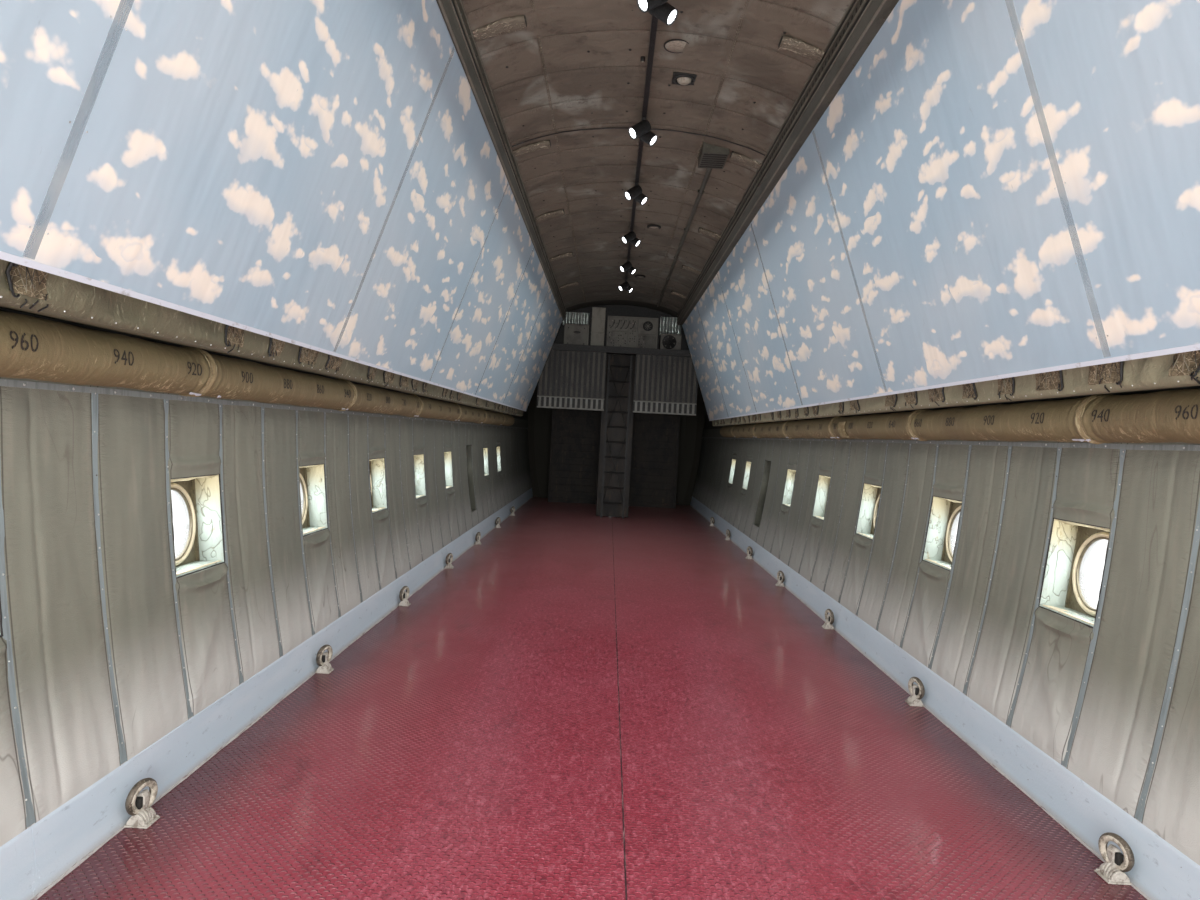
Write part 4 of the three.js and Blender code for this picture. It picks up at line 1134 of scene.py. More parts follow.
def build_rings(name, side):
    """Steel rings standing by the wall, each held by a low serrated casting."""
    rings, faces, claws, slots = Shape(), Shape(), Shape(), Shape()
    draw = random.Random(8 + side)
    for k in RING_FRAMES:
        y = k * PITCH
        turn = side * math.radians(18 + draw.uniform(-6, 6))
        axis = (math.cos(turn), math.sin(turn), side * 0.10)
        centre = np.array([side * RING_X, y, FLOOR + RING_HEIGHT])
        rings.add(torus(centre, axis, RING_R, RING_STOCK, 36, 12))
        faces.add(torus(centre - (side * 0.0035, 0, 0), axis, RING_R - 0.0022, RING_STOCK - 0.0015, 36, 12))
        claws.add(block((1.866, 1.957), (y - 0.046, y + 0.046), (0.0005, 0.008), side))
        for tooth in range(6):
            start = y - 0.043 + tooth * 0.0148
            scale = 1.0 - 0.12 * abs(tooth - 2.5) + draw.uniform(-0.08, 0.08)
            shape = outline(side, [(x, 0.008 + (h - 0.008) * scale) for x, h in CLAW])
            claws.add(prism(shape, start, start + draw.uniform(0.0085, 0.0115)))
        claws.add(prism(outline(side, SPINE), y - 0.042, y + 0.042))
        claws.add(prism(outline(side, HOOK), y - 0.010, y + 0.030))
        # painted shade: a near-black block beside the hook, in the ring's hole
        slots.add(block((RING_X - 0.012, RING_X + 0.012), (y - 0.031, y - 0.009), (0.066, 0.110), side))
        for dy in (-0.039, 0.039):
            claws.add(bolt((side * 1.876, y + dy, FLOOR + 0.008), UP, 0.0065, 0.005, (0.004, 0.0015)))
    piece(f"tie_down_rings_{name}", rings, "ring_steel", smooth=60)
    piece(f"ring_paint_{name}", faces, "ring_paint", smooth=60)
    piece(f"ring_claws_{name}", claws, "bracket_casting", bevel=0.002)
    piece(f"ring_slots_{name}", slots, "rail_groove", bevel=0.004)


# Ducts, their sleeves and plain station figures
SLEEVES = tuple(PITCH * number for number in range(6, HOLD_FRAMES, 4))
STATION_STEP = 20
FIRST_STATION = {1: (9, 960), -1: (8, 960)}
FIGURE_AFT = 0.16
GRILLE_Y = (8.65, 8.81)


def duct_radius(side, y, angle):
    facing = smooth_step(2.6, 1.9, np.abs(angle))
    crumple = 0.0022 * wobble(y / 0.16, angle * 1.3, side + 31)
    crumple = crumple + 0.0013 * wobble(y / 0.045, angle * 2.2, side + 37)
    hoop = 0.0016 * bump_at((y / PITCH) % 1 - 0.5, 0, 0.03)
    hoop = hoop - 0.0018 * bump_at((y / PITCH + 0.5) % 1 - 0.5, 0, 0.025)
    radius = DUCT_R - 0.003 + (crumple + hoop) * facing
    for middle in SLEEVES:
        near = smooth_step(0.13, 0.05, np.abs(y - middle))
        folds = np.sin((y - middle) / 0.0105 + 2.2 * wobble(angle * 2, middle, side))
        radius = radius + near * facing * (0.0030 + 0.0042 * folds)
    return radius


def build_duct(name, side):
    sleeve = np.concatenate([np.arange(middle - 0.15, middle + 0.15, 0.0058) for middle in SLEEVES])
    sleeve = sleeve[(sleeve > 0) & (sleeve < HOLD_END)]
    stations = np.concatenate([np.arange(0.0, HOLD_END, 0.036), sleeve, [HOLD_END]])
    angles = np.linspace(-math.pi, math.pi, 25)[:-1]
    y, angle = np.meshgrid(np.unique(np.round(stations, 4)), angles, indexing="ij")
    sag = -0.004 * np.sin((y / PITCH % 1) * math.pi) ** 2
    rings = on_duct(side, y, angle, duct_radius(side, y, angle)) + points(0, 0, sag)
    duct = piece(f"cloth_duct_{name}", Shape(loft(rings)), "duct_cloth",
                 replaces=[f"air_duct_{name}"], smooth=60)
    bands, scraps = Shape(), Shape()
    draw = random.Random(90 + side)
    for middle in SLEEVES:
        rings = []
        for along in np.linspace(-0.028, 0.028, 9):
            line = np.full_like(angles, middle + along)
            lift = 0.0045 + 0.002 * np.sin(along / 0.006) - 0.003 * (abs(along) > 0.026)
            reach = duct_radius(side, line, angles) + lift * smooth_step(2.5, 2.0, np.abs(angles))
            rings.append(on_duct(side, line + 0.004 * np.sin(angles * 3), angles, reach))
        bands.add(loft(rings))
        strips = ((draw.uniform(-0.12, 0.0), draw.uniform(0.08, 0.16)), (draw.uniform(-0.2, 0.2), 0.04))
        for start, reach in strips:
            scraps.add(torn_strip(side, middle + start, reach, draw.random() * 9))
    piece(f"duct_sleeves_{name}", bands, "duct_sleeve_cloth", smooth=60)
    piece(f"torn_strips_{name}", scraps, "panel_lip", smooth=60)


def torn_strip(side, y, length, seed):
    """A pale ragged strip of tape that hangs loose along a duct's foot."""
    share = np.linspace(0, 1, 15)
    wide = 0.010 + 0.007 * wobble(share * 6, seed, 3)
    frayed = 0.006 * np.abs(wobble(share * 4, seed, 5))
    lines = []
    for edge, lift in ((0.0, 0.0), (1.0, 0.0), (1.0, 0.0012), (0.0, 0.0012)):
        angle = -1.02 - edge * wide / DUCT_R - 0.10 * share * wobble(seed, 1.0, 2)
        lines.append(on_duct(side, y + length * share, angle, DUCT_R + 0.0045 + lift + edge * frayed))
    return ribbon(lines)


def figure_solids(text, height, gap=0.0035):
    """Plain stencilled figures as flat solids in (along, up), cut down the middle where they close."""
    solids, start = [], 0.0
    for sign in text:
        curve = bpy.data.curves.new("figure", "FONT")
        curve.body = sign
        curve.size = height / 0.70
        curve.extrude = 0.0003
        curve.resolution_u = 3
        holder = bpy.data.objects.new("figure", curve)
        bpy.context.scene.collection.objects.link(holder)
        cuts = bmesh.new()
        cuts.from_mesh(holder.to_mesh())
        xs = [vertex.co.x for vertex in cuts.verts]
        middle = (min(xs) + max(xs)) / 2
        if sign not in "147":
            for x in (middle - gap / 2, middle + gap / 2):
                everything = cuts.verts[:] + cuts.edges[:] + cuts.faces[:]
                bmesh.ops.bisect_plane(cuts, geom=everything, plane_co=(x, 0, 0), plane_no=(1, 0, 0))
            between = [face for face in cuts.faces if abs(face.calc_center_median().x - middle) < gap / 2]
            bmesh.ops.delete(cuts, geom=between, context="FACES")
        cuts.verts.index_update()
        corners = np.array([vertex.co[:] for vertex in cuts.verts])
        faces = [[vertex.index for vertex in face.verts] for face in cuts.faces]
        cuts.free()
        bpy.data.objects.remove(holder)
        bpy.data.curves.remove(curve)
        solids.append((corners + (start - min(xs), 0, 0), faces))
        start += max(xs) - min(xs) + height * 0.13
    shift = ((start - height * 0.13) / 2, 0, 0)
    return [(corners - shift, faces) for corners, faces in solids]


def wrap(side, y):
    """Puts (along, up, out) points of a figure on a duct."""
    def place(spots):
        along, up, out = spots.T
        angle = (up - 0.020) / DUCT_R
        along = y - side * along
        reach = duct_radius(side, along, angle) + 0.0009 + out
        return on_duct(side, along, angle, reach) - (0, 0, 0.002)

    return place


def build_figures(name, side):
    shape = Shape()
    first_frame, first_number = FIRST_STATION[side]
    for number in range(first_frame - 7, HOLD_FRAMES - 1):
        place = wrap(side, number * PITCH - FIGURE_AFT)
        for solid in figure_solids(str(first_number - STATION_STEP * (number - first_frame)), 0.058):
            shape.add(solid, place)
    piece(f"station_figures_{name}", shape, "stencil_ink", smooth=30)


def build_grille():
    """A slatted outlet on the right duct."""
    angles = np.linspace(-0.9, 0.35, 8)
    low, high = GRILLE_Y

    def arc(section):
        return ribbon([on_duct(1, y, angles, DUCT_R + out) for out, y in section])

    grille = Shape()
    for y in np.arange(low, high + 0.001, 0.016):
        grille.add(arc(((0.001, y - 0.002), (0.013, y - 0.002), (0.013, y + 0.002), (0.001, y + 0.002))))
    for angle in (angles[0], angles[-1]):
        ends = np.array([low - 0.006, high + 0.006])
        grille.add(tube(on_duct(1, ends, angle, DUCT_R + 0.007), 0.007, 6))
    piece("duct_grille", grille, "duct_sleeve_cloth", smooth=40)
    # painted shade: a near-black strip behind the slats
    back = arc(((0.0, low), (0.003, low), (0.003, high), (0.0, high)))
    piece("duct_grille_back", Shape(back), "rail_groove", smooth=40)


# Canvas between panel and duct, with bars, bare netting and lashings
CANVAS_LINE = ((0.0, 2.150, 1.940), (0.40, 1.880, 1.908), (0.52, 1.830, 1.912), (0.58, 1.814, 1.930),
               (1.0, 1.800, 2.044))
CANVAS_FOLD = 0.52
CANVAS_SHARES = (0, 0.2, 0.36, 0.44, 0.49, 0.52, 0.55, 0.58, 0.63, 0.70, 0.78, 0.86, 0.94, 1.0)
GATHERS_Y = {1: 4.25, -1: 3.30}
BAR_STEP = 0.405
FIRST_BAR = {1: 0.505, -1: 0.010}


def on_canvas(side, y, share, out=0.0):
    """Points of the canvas, from the wall over the duct (share 0) to behind the panel's edge (share 1)."""
    shares, xs, heights = zip(*CANVAS_LINE)
    x, height = np.interp(share, shares, xs), np.interp(share, shares, heights)
    hanging = smooth_step(0.42, 0.60, share)
    sheer = np.clip((share - CANVAS_FOLD) / (1 - CANVAS_FOLD), 0, 1)
    patches = 0.5 * smooth_step(0.1, 0.6, wobble(y / 1.3, 0.5, side + 41))
    zone = np.maximum(bump_at(y, GATHERS_Y[side], 0.55), patches)
    folds = 0.012 * np.sin(2 * math.pi * (y / 0.125 + 0.8 * sheer * side + 0.5 * wobble(y * 2, 1, side)))
    soft = 0.020 * wobble(y / 0.26, sheer * 1.4, side + 43) + 0.005 * wobble(y / 0.08, sheer * 2, side + 47)
    lift = out + (folds * zone + soft) * np.sin(sheer * math.pi) ** 0.6
    lift = lift + 0.006 * bump_at(share, CANVAS_FOLD, 0.05) * (1 + wobble(y / 0.15, 0.5, side + 3))
    return points(side * (x - hanging * lift), y, FLOOR + height - (1 - hanging) * lift)


def build_canvas(name, side):
    y, share = np.meshgrid(np.linspace(0.0, HOLD_END, HOLD_FRAMES * 20), CANVAS_SHARES, indexing="ij")
    front = on_canvas(side, y, share)
    canvas = piece(f"insulation_canvas_{name}", Shape(slab(front, front + (side * 0.006, 0, 0.010))),
                   "insulation_canvas", replaces=[f"insulation_ledge_{name}"], smooth=60)
    bars, nets, cords, snaps = Shape(), Shape(), Shape(), Shape()
    draw = random.Random(50 + side)
    for k in range(40):
        y = FIRST_BAR[side] + k * BAR_STEP + draw.uniform(-0.02, 0.02)
        wide = draw.uniform(0.13, 0.25)
        if draw.random() < 0.2:
            continue
        add_bar(side, y, wide, bars, draw)
        ys, shares = np.meshgrid(np.linspace(y, y + wide, 12), np.linspace(0.60, 0.97, 7), indexing="ij")
        nets.add(slab(on_canvas(side, ys, shares, 0.004), on_canvas(side, ys, shares, 0.001)))
        add_lashings(side, y, wide, cords, bars, draw)
    for y in np.arange(0.06, HOLD_END, PITCH / 4):
        snaps.add(dome(on_canvas(side, y, 0.545), (-side, 0, -0.6), 0.0036, 0.003))
    parts = (("bars", bars, "black_fittings"), ("netting", nets, "insulation_netting"),
             ("lashings", cords, "lashing_cord"), ("snaps", snaps, "snap_metal"))
    for part, shape, look_name in parts:
        piece(f"canvas_{part}_{name}", shape, look_name, smooth=60)


def add_bar(side, y, wide, bars, draw):
    """A short dark bar down the canvas, with a hooked foot, and the slit's edge along its head."""
    path = [on_canvas(side, y, share, 0.006) for share in (0.99, 0.80, 0.61)]
    bars.add(tube(path, (0.0045, 0.0055, 0.0045), 6))
    bend = np.linspace(0, 2.6, 7)
    foot = on_canvas(side, y, 0.61, 0.008)
    bars.add(tube(foot + points(0, 0.013 * (1 - np.cos(bend)), -0.013 * np.sin(bend)), 0.0035, 6))
    slit = [on_canvas(side, y + wide * t, 0.955, 0.006) for t in (0.0, 0.3, 0.65)]
    bars.add(tube(slit, (0.004, 0.003, 0.0015), 5))
    if draw.random() < 0.6:
        spot = on_canvas(side, y + 0.012, 0.90, 0.006)
        bars.add(bolt(spot, (-side, 0, 0), 0.010, 0.004, (0.006, 0.002), 12))


def add_lashings(side, y, wide, cords, bars, draw):
    """Pale cord laced to and fro over the bare patch, and frayed dark ends at its foot."""
    for start in (0.05, 0.40):
        reach = wide * draw.uniform(0.35, 0.6)
        turns = draw.choice((3, 4, 5))
        strand = []
        for k in range(turns + 1):
            share = draw.uniform(0.86, 0.96) if k % 2 else draw.uniform(0.62, 0.76)
            strand.append(on_canvas(side, y + wide * start + reach * k / turns, share, 0.009))
        cords.add(tube(strand, draw.uniform(0.0012, 0.0019), 5))
    for _ in range(draw.choice((2, 3, 4))):
        start, share = y + draw.uniform(0.0, wide), draw.uniform(0.56, 0.68)
        way = draw.uniform(-0.02, 0.035)
        t = np.array([0, 0.5, 1.0])
        strand = on_canvas(side, start + way * t, share - 0.05 * t + 0.02 * np.sin(t * 5), 0.009)
        bars.add(tube(strand, draw.uniform(0.0018, 0.0030), 5))


# Sloping panels and rails
PANEL_LOW = np.array([1.756, 2.009])
PANEL_TOP = np.array([1.142, 3.796])
PANEL_LENGTH = float(np.linalg.norm(PANEL_TOP - PANEL_LOW))
PANEL_WAY = (PANEL_TOP - PANEL_LOW) / PANEL_LENGTH
PANEL_OUT = np.array([PANEL_WAY[1], -PANEL_WAY[0]])
PANEL_SEAMS = {1: (2.1, 4.55, 7.0, 9.4, 11.85, 14.3), -1: (1.2, 3.62, 6.05, 8.5, 10.9, 13.4, 15.8)}
LIP_SECTION = ((-0.004, -0.003), (0.016, -0.003), (0.016, 0.001), (-0.001, 0.001), (-0.001, 0.034),
               (-0.004, 0.034))
SEAM_SECTION = ((0.02, -0.0012), (PANEL_LENGTH - 0.01, -0.0012), (PANEL_LENGTH - 0.01, 0.0), (0.02, 0.0))
RAIL_REBATE_X = 1.141
RAIL_OUTER_X = 1.180
RAIL_LIPS = ((3.842, 3.848, 0.007), (3.892, 3.899, 0.010), (3.968, 3.974, 0.009), (4.018, 4.028, 0.007))
RAIL_LONG = (0.001, HOLD_END - 0.001)


def on_panel(side, up, out):
    """x and z on a panel, a way up from its lower edge and out behind its face."""
    x, height = PANEL_LOW + PANEL_WAY * up + PANEL_OUT * out
    return side * x, FLOOR + height


def build_panels(name, side):
    dress("sky_sheet", f"sky_panel_{name}")
    lip = Shape(prism([on_panel(side, up, out) for up, out in LIP_SECTION], 0.0, HOLD_END))
    section = [on_panel(side, up, out) for up, out in SEAM_SECTION]
    tape, pins = Shape(), Shape()
    for seam in PANEL_SEAMS[side]:
        tape.add(prism(section, seam - 0.022, seam + 0.022))
        for up in np.arange(0.10, PANEL_LENGTH, 0.30):
            x, z = on_panel(side, up, 0.0)
            for dy in (-0.035, 0.035):
                pins.add(dome((x, seam + dy, z), (-side * PANEL_OUT[0], 0, -PANEL_OUT[1]), 0.0035, 0.002))
    piece(f"panel_lip_{name}", lip, "panel_lip")
    piece(f"panel_tape_{name}", tape, "panel_tape")
    piece(f"panel_pins_{name}", pins, "snap_metal", smooth=60)


def rail_top(x):
    return STRAIGHT_TOP + math.sqrt(SHOULDER_R ** 2 - (x - SHOULDER_X) ** 2)


def build_rail(name, side):
    """The rail along the panel's upper edge: long grooves and lips, with slots or bolts between."""
    inner = RAIL_X[side]
    step = RAIL_FOOT + 0.006
    section = [(RAIL_REBATE_X, RAIL_FOOT), (RAIL_REBATE_X, step), (RAIL_OUTER_X, step),
               (RAIL_OUTER_X, rail_top(RAIL_OUTER_X)), (inner, rail_top(inner))]
    for low, high in reversed(RAIL_GROOVES):
        high = min(high, rail_top(inner) - 0.003)
        section += [(inner, high), (inner + GROOVE_DEPTH, high), (inner + GROOVE_DEPTH, low), (inner, low)]
    section += [(inner, RAIL_FOOT + 0.040), (inner + 0.025, RAIL_FOOT)]
    rail = Shape(prism(outline(side, section), 0.0, HOLD_END))
    piece(f"grooved_rail_{name}", rail, "rail_paint", replaces=[f"panel_rail_{name}"], smooth=25)
    lips, dark, bolts = Shape(), Shape(), Shape()
    # the lips' paler paint is painted highlight along their edges
    for low, high, proud in RAIL_LIPS:
        lips.add(block((inner - proud, inner + 0.004), RAIL_LONG, (low, high), side))
    lips.add(block((inner + 0.027, inner + 0.040), RAIL_LONG, (RAIL_FOOT - 0.008, RAIL_FOOT + 0.003), side))
    bottom = inner + GROOVE_DEPTH
    # painted shade: near-black strips at the grooves' bottoms
    for low, high in RAIL_GROOVES:
        dark.add(block((bottom - 0.003, bottom + 0.001), RAIL_LONG, (low - 0.001, high + 0.001), side))
    for y in np.arange(0.1, HOLD_END, 0.075 if side > 0 else 0.254):
        spot = (side * inner, y, FLOOR + 3.934)
        if side > 0:
            dark.add(bolt(spot, (-1, 0, 0), 0.013, 0.0015, (0.009, 0.0003), 12, foot=-0.002))
        else:
            bolts.add(bolt(spot, (1, 0, 0), 0.008, 0.005, (0.005, 0.0015), foot=-0.002))
    for y in np.arange(0.2, HOLD_END, 0.254):
        spot = (side * 1.128, y, FLOOR + RAIL_FOOT + 0.001)
        bolts.add(bolt(spot, DOWN, 0.007, 0.004, (0.004, 0.0015), foot=-0.001))
    piece(f"rail_lips_{name}", lips, "rail_lip", bevel=0.0015)
    piece(f"rail_grooves_{name}", dark, "rail_groove", smooth=40)
    piece(f"rail_bolts_{name}", bolts, "rail_paint", smooth=40)


# Ceiling
CEILING_EDGE = CROWN_HALF + SHOULDER_R * (CROWN_ANGLE - math.radians(61.5))
CEILING_SEAMS = (-0.735, 0.525)
TUFT_ROWS = (-0.98, -0.42, -0.14, 0.16, 0.80)
CEILING_SHARES = (0, 0.03, 0.08, 0.17, 0.28, 0.40, 0.5, 0.60, 0.72, 0.83, 0.92, 0.97)


def build_ceiling():
    seams = [seam + np.array([-0.03, -0.015, 0.0, 0.015, 0.03]) for seam in CEILING_SEAMS]
    across = np.concatenate([np.linspace(-CEILING_EDGE, CEILING_EDGE, 45), *seams])
    bays = [bay + np.array(CEILING_SHARES) for bay in range(HOLD_FRAMES)]
    y, s = np.meshgrid(np.concatenate([*bays, [HOLD_FRAMES]]) * PITCH, np.unique(np.round(across, 4)))
    bay = np.minimum(np.floor(y / PITCH + 1e-9), HOLD_FRAMES - 1)
    share = y / PITCH - bay
    pillow = np.clip(4 * share * (1 - share), 0, 1) ** 0.6
    drop = 0.004 + (0.012 + 0.006 * wobble(bay * 2.3, s * 1.5, 61)) * pillow
    for seam in CEILING_SEAMS:
        drop -= 0.010 * bump_at(s, seam, 0.035) * pillow
        drop += 0.004 * bump_at(s, seam, 0.010)
    for row in TUFT_ROWS:
        drop -= 0.012 * bump_at(s, row, 0.035) * bump_at(share, 0.5, 0.10)
        drop -= 0.006 * bump_at(s, row + 0.14, 0.03) * bump_at(share, 0.0, 0.05)
    drop += 0.005 * wobble(y * 3.1, s * 5, 67) * pillow
    drop += 0.0025 * wobble(y * 14, s * 9, 71) * pillow
    cloth = piece("quilted_ceiling", Shape(slab(on_ceiling(s, y, -drop), on_ceiling(s, y, 0.012))),
                  "ceiling_cloth", replaces=["ceiling_lining"], smooth=60)
    welts, piping, tufts = Shape(), Shape(), Shape()
    stations = np.arange(0.02, HOLD_END, 0.12)
    for seam in CEILING_SEAMS:
        for shift in (-0.005, 0.005):
            line = seam + shift + 0.004 * wobble(stations * 1.3, seam, 5)
            welts.add(tube(on_ceiling(line, stations, -0.009), 0.0040, 6))
    line = np.linspace(-CEILING_EDGE + 0.12, CEILING_EDGE - 0.12, 28)
    for k in range(1, HOLD_FRAMES):
        piping.add(tube(on_ceiling(line, k * PITCH + 0.008 * wobble(line * 4, k, 73), -0.007), 0.0018, 5))
    for k in range(HOLD_FRAMES):
        for row in TUFT_ROWS:
            tufts.add(dome(on_ceiling(row, (k + 0.5) * PITCH, -0.009), DOWN, 0.010, 0.007, 8))
    piece("ceiling_welts", welts, "pouch_cloth", smooth=60)
    piece("ceiling_piping", piping, "ceiling_cloth", smooth=60)
    piece("ceiling_tufts", tufts, "rail_groove", smooth=60)


POUCH_ROWS = {1: (6.42, 8.42, 10.90, 12.95, 15.0), -1: (6.32, 8.34, 10.42, 12.5, 14.6)}
POUCH_NEAR_X = 0.765
BEND = 1.045


def build_pouches():
    """Cloth pouches under the ceiling, each sewn at one end to a rail and open at the other."""
    cloth, mouths = Shape(), Shape()
    angle = np.linspace(0, 2 * math.pi, 21)[:-1]
    squash = np.abs(np.sin(angle)) ** 0.6 * np.sign(np.sin(angle))
    for side, rows in POUCH_ROWS.items():
        far = RAIL_X[side] - 0.012
        for number, y in enumerate(rows):
            rings = []
            for share in np.linspace(0, 1, 14):
                across = side * (POUCH_NEAR_X + (far - POUCH_NEAR_X) * share) * BEND
                wide = 0.068 * (0.86 + 0.14 * math.sin(share * math.pi))
                wide = wide + 0.006 * wobble(share * 5, number, 3)
                deep = 0.044 * (1 - 0.35 * share) + 0.016 * math.exp(-((share / 0.07) ** 2))
                ripple = 0.0045 * wobble(share * 8 + number, angle * 2.2, number + side)
                down = 0.010 + deep * (0.5 - 0.5 * squash) + ripple
                rings.append(on_ceiling(across, y + wide * np.cos(angle), -down))
            cloth.add(loft(rings))
            # painted shade: a near-black block in each pouch's open end
            mouth = on_ceiling(side * POUCH_NEAR_X * BEND, y, -0.030)
            mouths.add(block_at(mouth, (0.006, 0.050), -0.011, 0.009))
    bags = piece("ceiling_pouches", cloth, "pouch_cloth", smooth=60)
    piece("pouch_mouths", mouths, "rail_groove", bevel=0.003)


SLOT_BOX_X = (0.530, 0.755)
SLOT_BOX_Y = (8.350, 8.740)
SLOT_BOX_LOW = 4.085
PIPE_X, PIPE_R = 0.655, 0.020
PIPE_START, PIPE_END = 8.700, 16.700
PIPE_Z = CROWN_Z + math.sqrt(CROWN_R ** 2 - PIPE_X ** 2) - PIPE_R - 0.006
LAMP_PLACES = ((0.26, 7.23, "square"), (0.17, 6.76, "oval"), (-0.05, 6.95, "socket"),
               (0.27, 11.25, "hoop"), (0.22, 14.31, "hoop"), (0.26, 3.9, "square"))


def build_ceiling_fittings():
    frames, glass = Shape(), Shape()
    for across, y, kind in LAMP_PLACES:
        spot = on_ceiling(across, y, -0.014)
        if kind == "square":
            frames.add(block_at(spot, (0.085, 0.085), -0.004, 0.010))
            frames.add(torus(spot - (0, 0, 0.006), UP, 0.070, 0.010, 28, 8))
            glass.add(dome(spot - (0, 0, 0.004), DOWN, 0.052, 0.030, 20))
            for dx in (-0.07, 0.07):
                for dy in (-0.07, 0.07):
                    frames.add(dome(spot + (dx, dy, -0.004), DOWN, 0.006, 0.004))
        elif kind == "oval":
            glass.add(turned([(0.085, 0), (0.080, 0.006), (0.030, 0.009)], spot, DOWN, 28))
            frames.add(torus(spot - (0, 0, 0.004), UP, 0.086, 0.005, 28, 6))
        elif kind == "socket":
            frames.add(bolt(spot, DOWN, 0.016, 0.025, (0.011, 0.005), 12))
            glass.add(dome(spot - (0, 0, 0.028), DOWN, 0.009, 0.006, 8))
        else:
            turn = np.linspace(-0.4, 3.5, 14)
            arc = spot + points(0.075 * np.cos(turn), -0.075 * np.sin(turn), -0.012)
            frames.add(tube(arc, 0.013, 8))
            glass.add(dome(spot, DOWN, 0.050, 0.020, 16))
    piece("ceiling_lamp_frames", frames, "rail_groove", bevel=0.0015)
    piece("ceiling_lamp_glasses", glass, "dome_glass", smooth=60)
    pipe = Shape(tube([(PIPE_X, PIPE_START, PIPE_Z), (PIPE_X, PIPE_END, PIPE_Z)], PIPE_R, 16))
    for y in np.arange(PIPE_START + 0.9, PIPE_END, 1.5):
        pipe.add(block_at((PIPE_X, y, PIPE_Z), (0.034, 0.018), -0.002, 0.022))
        pipe.add(tube([(PIPE_X, y - 0.018, PIPE_Z), (PIPE_X, y + 0.018, PIPE_Z)], PIPE_R + 0.004, 16))
    (near, far), low = SLOT_BOX_X, SLOT_BOX_LOW
    section = ((near, low), (far, low), (far, low + 0.055), (near, low + 0.095))
    pipe.add(prism(outline(1, section), *SLOT_BOX_Y))
    piece("ceiling_pipe_and_box", pipe, "rail_paint", replaces=["ceiling_pipe"], smooth=40)
    # painted shade: near-black plates on the box's foot, in its slots
    slots = Shape()
    for y in np.arange(SLOT_BOX_Y[0] + 0.020, SLOT_BOX_Y[1] - 0.02, 0.052):
        slots.add(block((near + 0.012, far - 0.012), (y, y + 0.028), (low - 0.002, low + 0.002)))
    piece("slot_box_slots", slots, "rail_groove")
    line = np.linspace(-1.12, 1.06, 30)
    drop = 0.020 + 0.004 * np.abs(wobble(line * 5, 1, 9))
    feed = on_ceiling(line, 8.18 + 0.02 * wobble(line * 3, 4, 2), -drop)
    piece("track_feed_conduit", Shape(tube(feed, 0.005, 6)), "black_fittings", smooth=60)


# Light track
TRACK_Z = CROWN_TOP - 0.060
SPOT_ROWS = (6.0, 7.9, 9.55, 11.35, 13.05, 14.55)
TRACK_START, TRACK_END = 5.9, 14.6
SPOT_PROFILE = ((0.034, 0.0), (0.046, 0.006), (0.048, 0.012), (0.048, 0.150),
                (0.0490, 0.162), (0.044, 0.162), (0.0425, 0.153), (0.004, 0.152))


def build_track():
    """A track on short hangers, with a pair of spot lamps at each row."""
    metal, faces, fins, beads = Shape(), Shape(), Shape(), Shape()
    metal.add(box((-0.018, TRACK_START, TRACK_Z - 0.018), (0.018, TRACK_END, TRACK_Z + 0.018)))
    metal.add(box((-0.006, TRACK_START, TRACK_Z - 0.022), (0.006, TRACK_END, TRACK_Z - 0.016)))
    for y in np.arange(TRACK_START + 0.2, TRACK_END, 1.4):
        metal.add(box((-0.012, y - 0.02, TRACK_Z), (0.012, y + 0.02, CROWN_TOP - 0.008)))
    for y in SPOT_ROWS:
        for side in (-1, 1):
            base = np.array([0.0, y + side * 0.06, TRACK_Z - 0.018])
            pivot = base + (0.004 * side, 0.0, -0.070)
            metal.add(block_at(base, (0.014, 0.030), -0.020, 0.004))
            metal.add(tube([base, pivot], 0.009, 10))
            aim, across, over = sides_of((0.80 * side, -0.25 if side > 0 else -0.35, -0.62))
            back = pivot - aim * 0.050
            metal.add(turned(SPOT_PROFILE, back, aim, 28))
            for ring in np.arange(0.020, 0.068, 0.010):
                fins.add(torus(back + aim * ring, aim, 0.0485, 0.0022, 24, 5))
            front = back + aim * 0.153
            faces.add(bolt(front, aim, 0.042, 0.002, (0.002, 0.001), 24))
            for reach, count in ((0.0, 1), (0.015, 6), (0.031, 12)):
                for spot in front + reach * circle(across, over, count) + aim * 0.002:
                    beads.add(dome(spot, aim, 0.0062, 0.004, 8))
            metal.add(torus(pivot, (0, 1, 0), 0.014, 0.006, 12, 6))
    piece("track_and_spots", metal, "black_fittings", replaces=["light_track"], smooth=40)
    piece("spot_fins", fins, "black_fittings", smooth=60)
    piece("spot_faces", faces, "lamp_face", smooth=40)
    piece("spot_beads", beads, "lamp_bead", smooth=60)


# Flight-deck end
DECK_LOW, DECK_HIGH = 3.24, 3.30
CURTAIN_TOP = 4.015
RACK_MODULES = ((-0.27, 3.34, 0.12, 3.66), (-0.27, 3.68, 0.12, 3.93), (0.135, 3.34, 0.30, 3.93),
                (0.315, 3.34, 0.47, 3.62), (0.315, 3.635, 0.68, 3.93), (0.485, 3.34, 0.68, 3.62))


def pleats(x0, x1, y, low, count):
    """A gathered curtain hanging in regular folds."""
    t, v = np.meshgrid(np.linspace(0, 1, count * 8 + 1), np.linspace(0, 1, 7), indexing="ij")
    wave = np.sin(t * count * 2 * math.pi + 0.5 * np.sin(v * 3)) * 0.085 * (0.5 + 0.5 * v)
    x = x0 + (x1 - x0) * t + 0.006 * wobble(t * count, v * 2, 5)
    front = points(x, y + wave, FLOOR + CURTAIN_TOP + (low - CURTAIN_TOP) * v)
    return slab(front, front + (0, 0.004, 0))


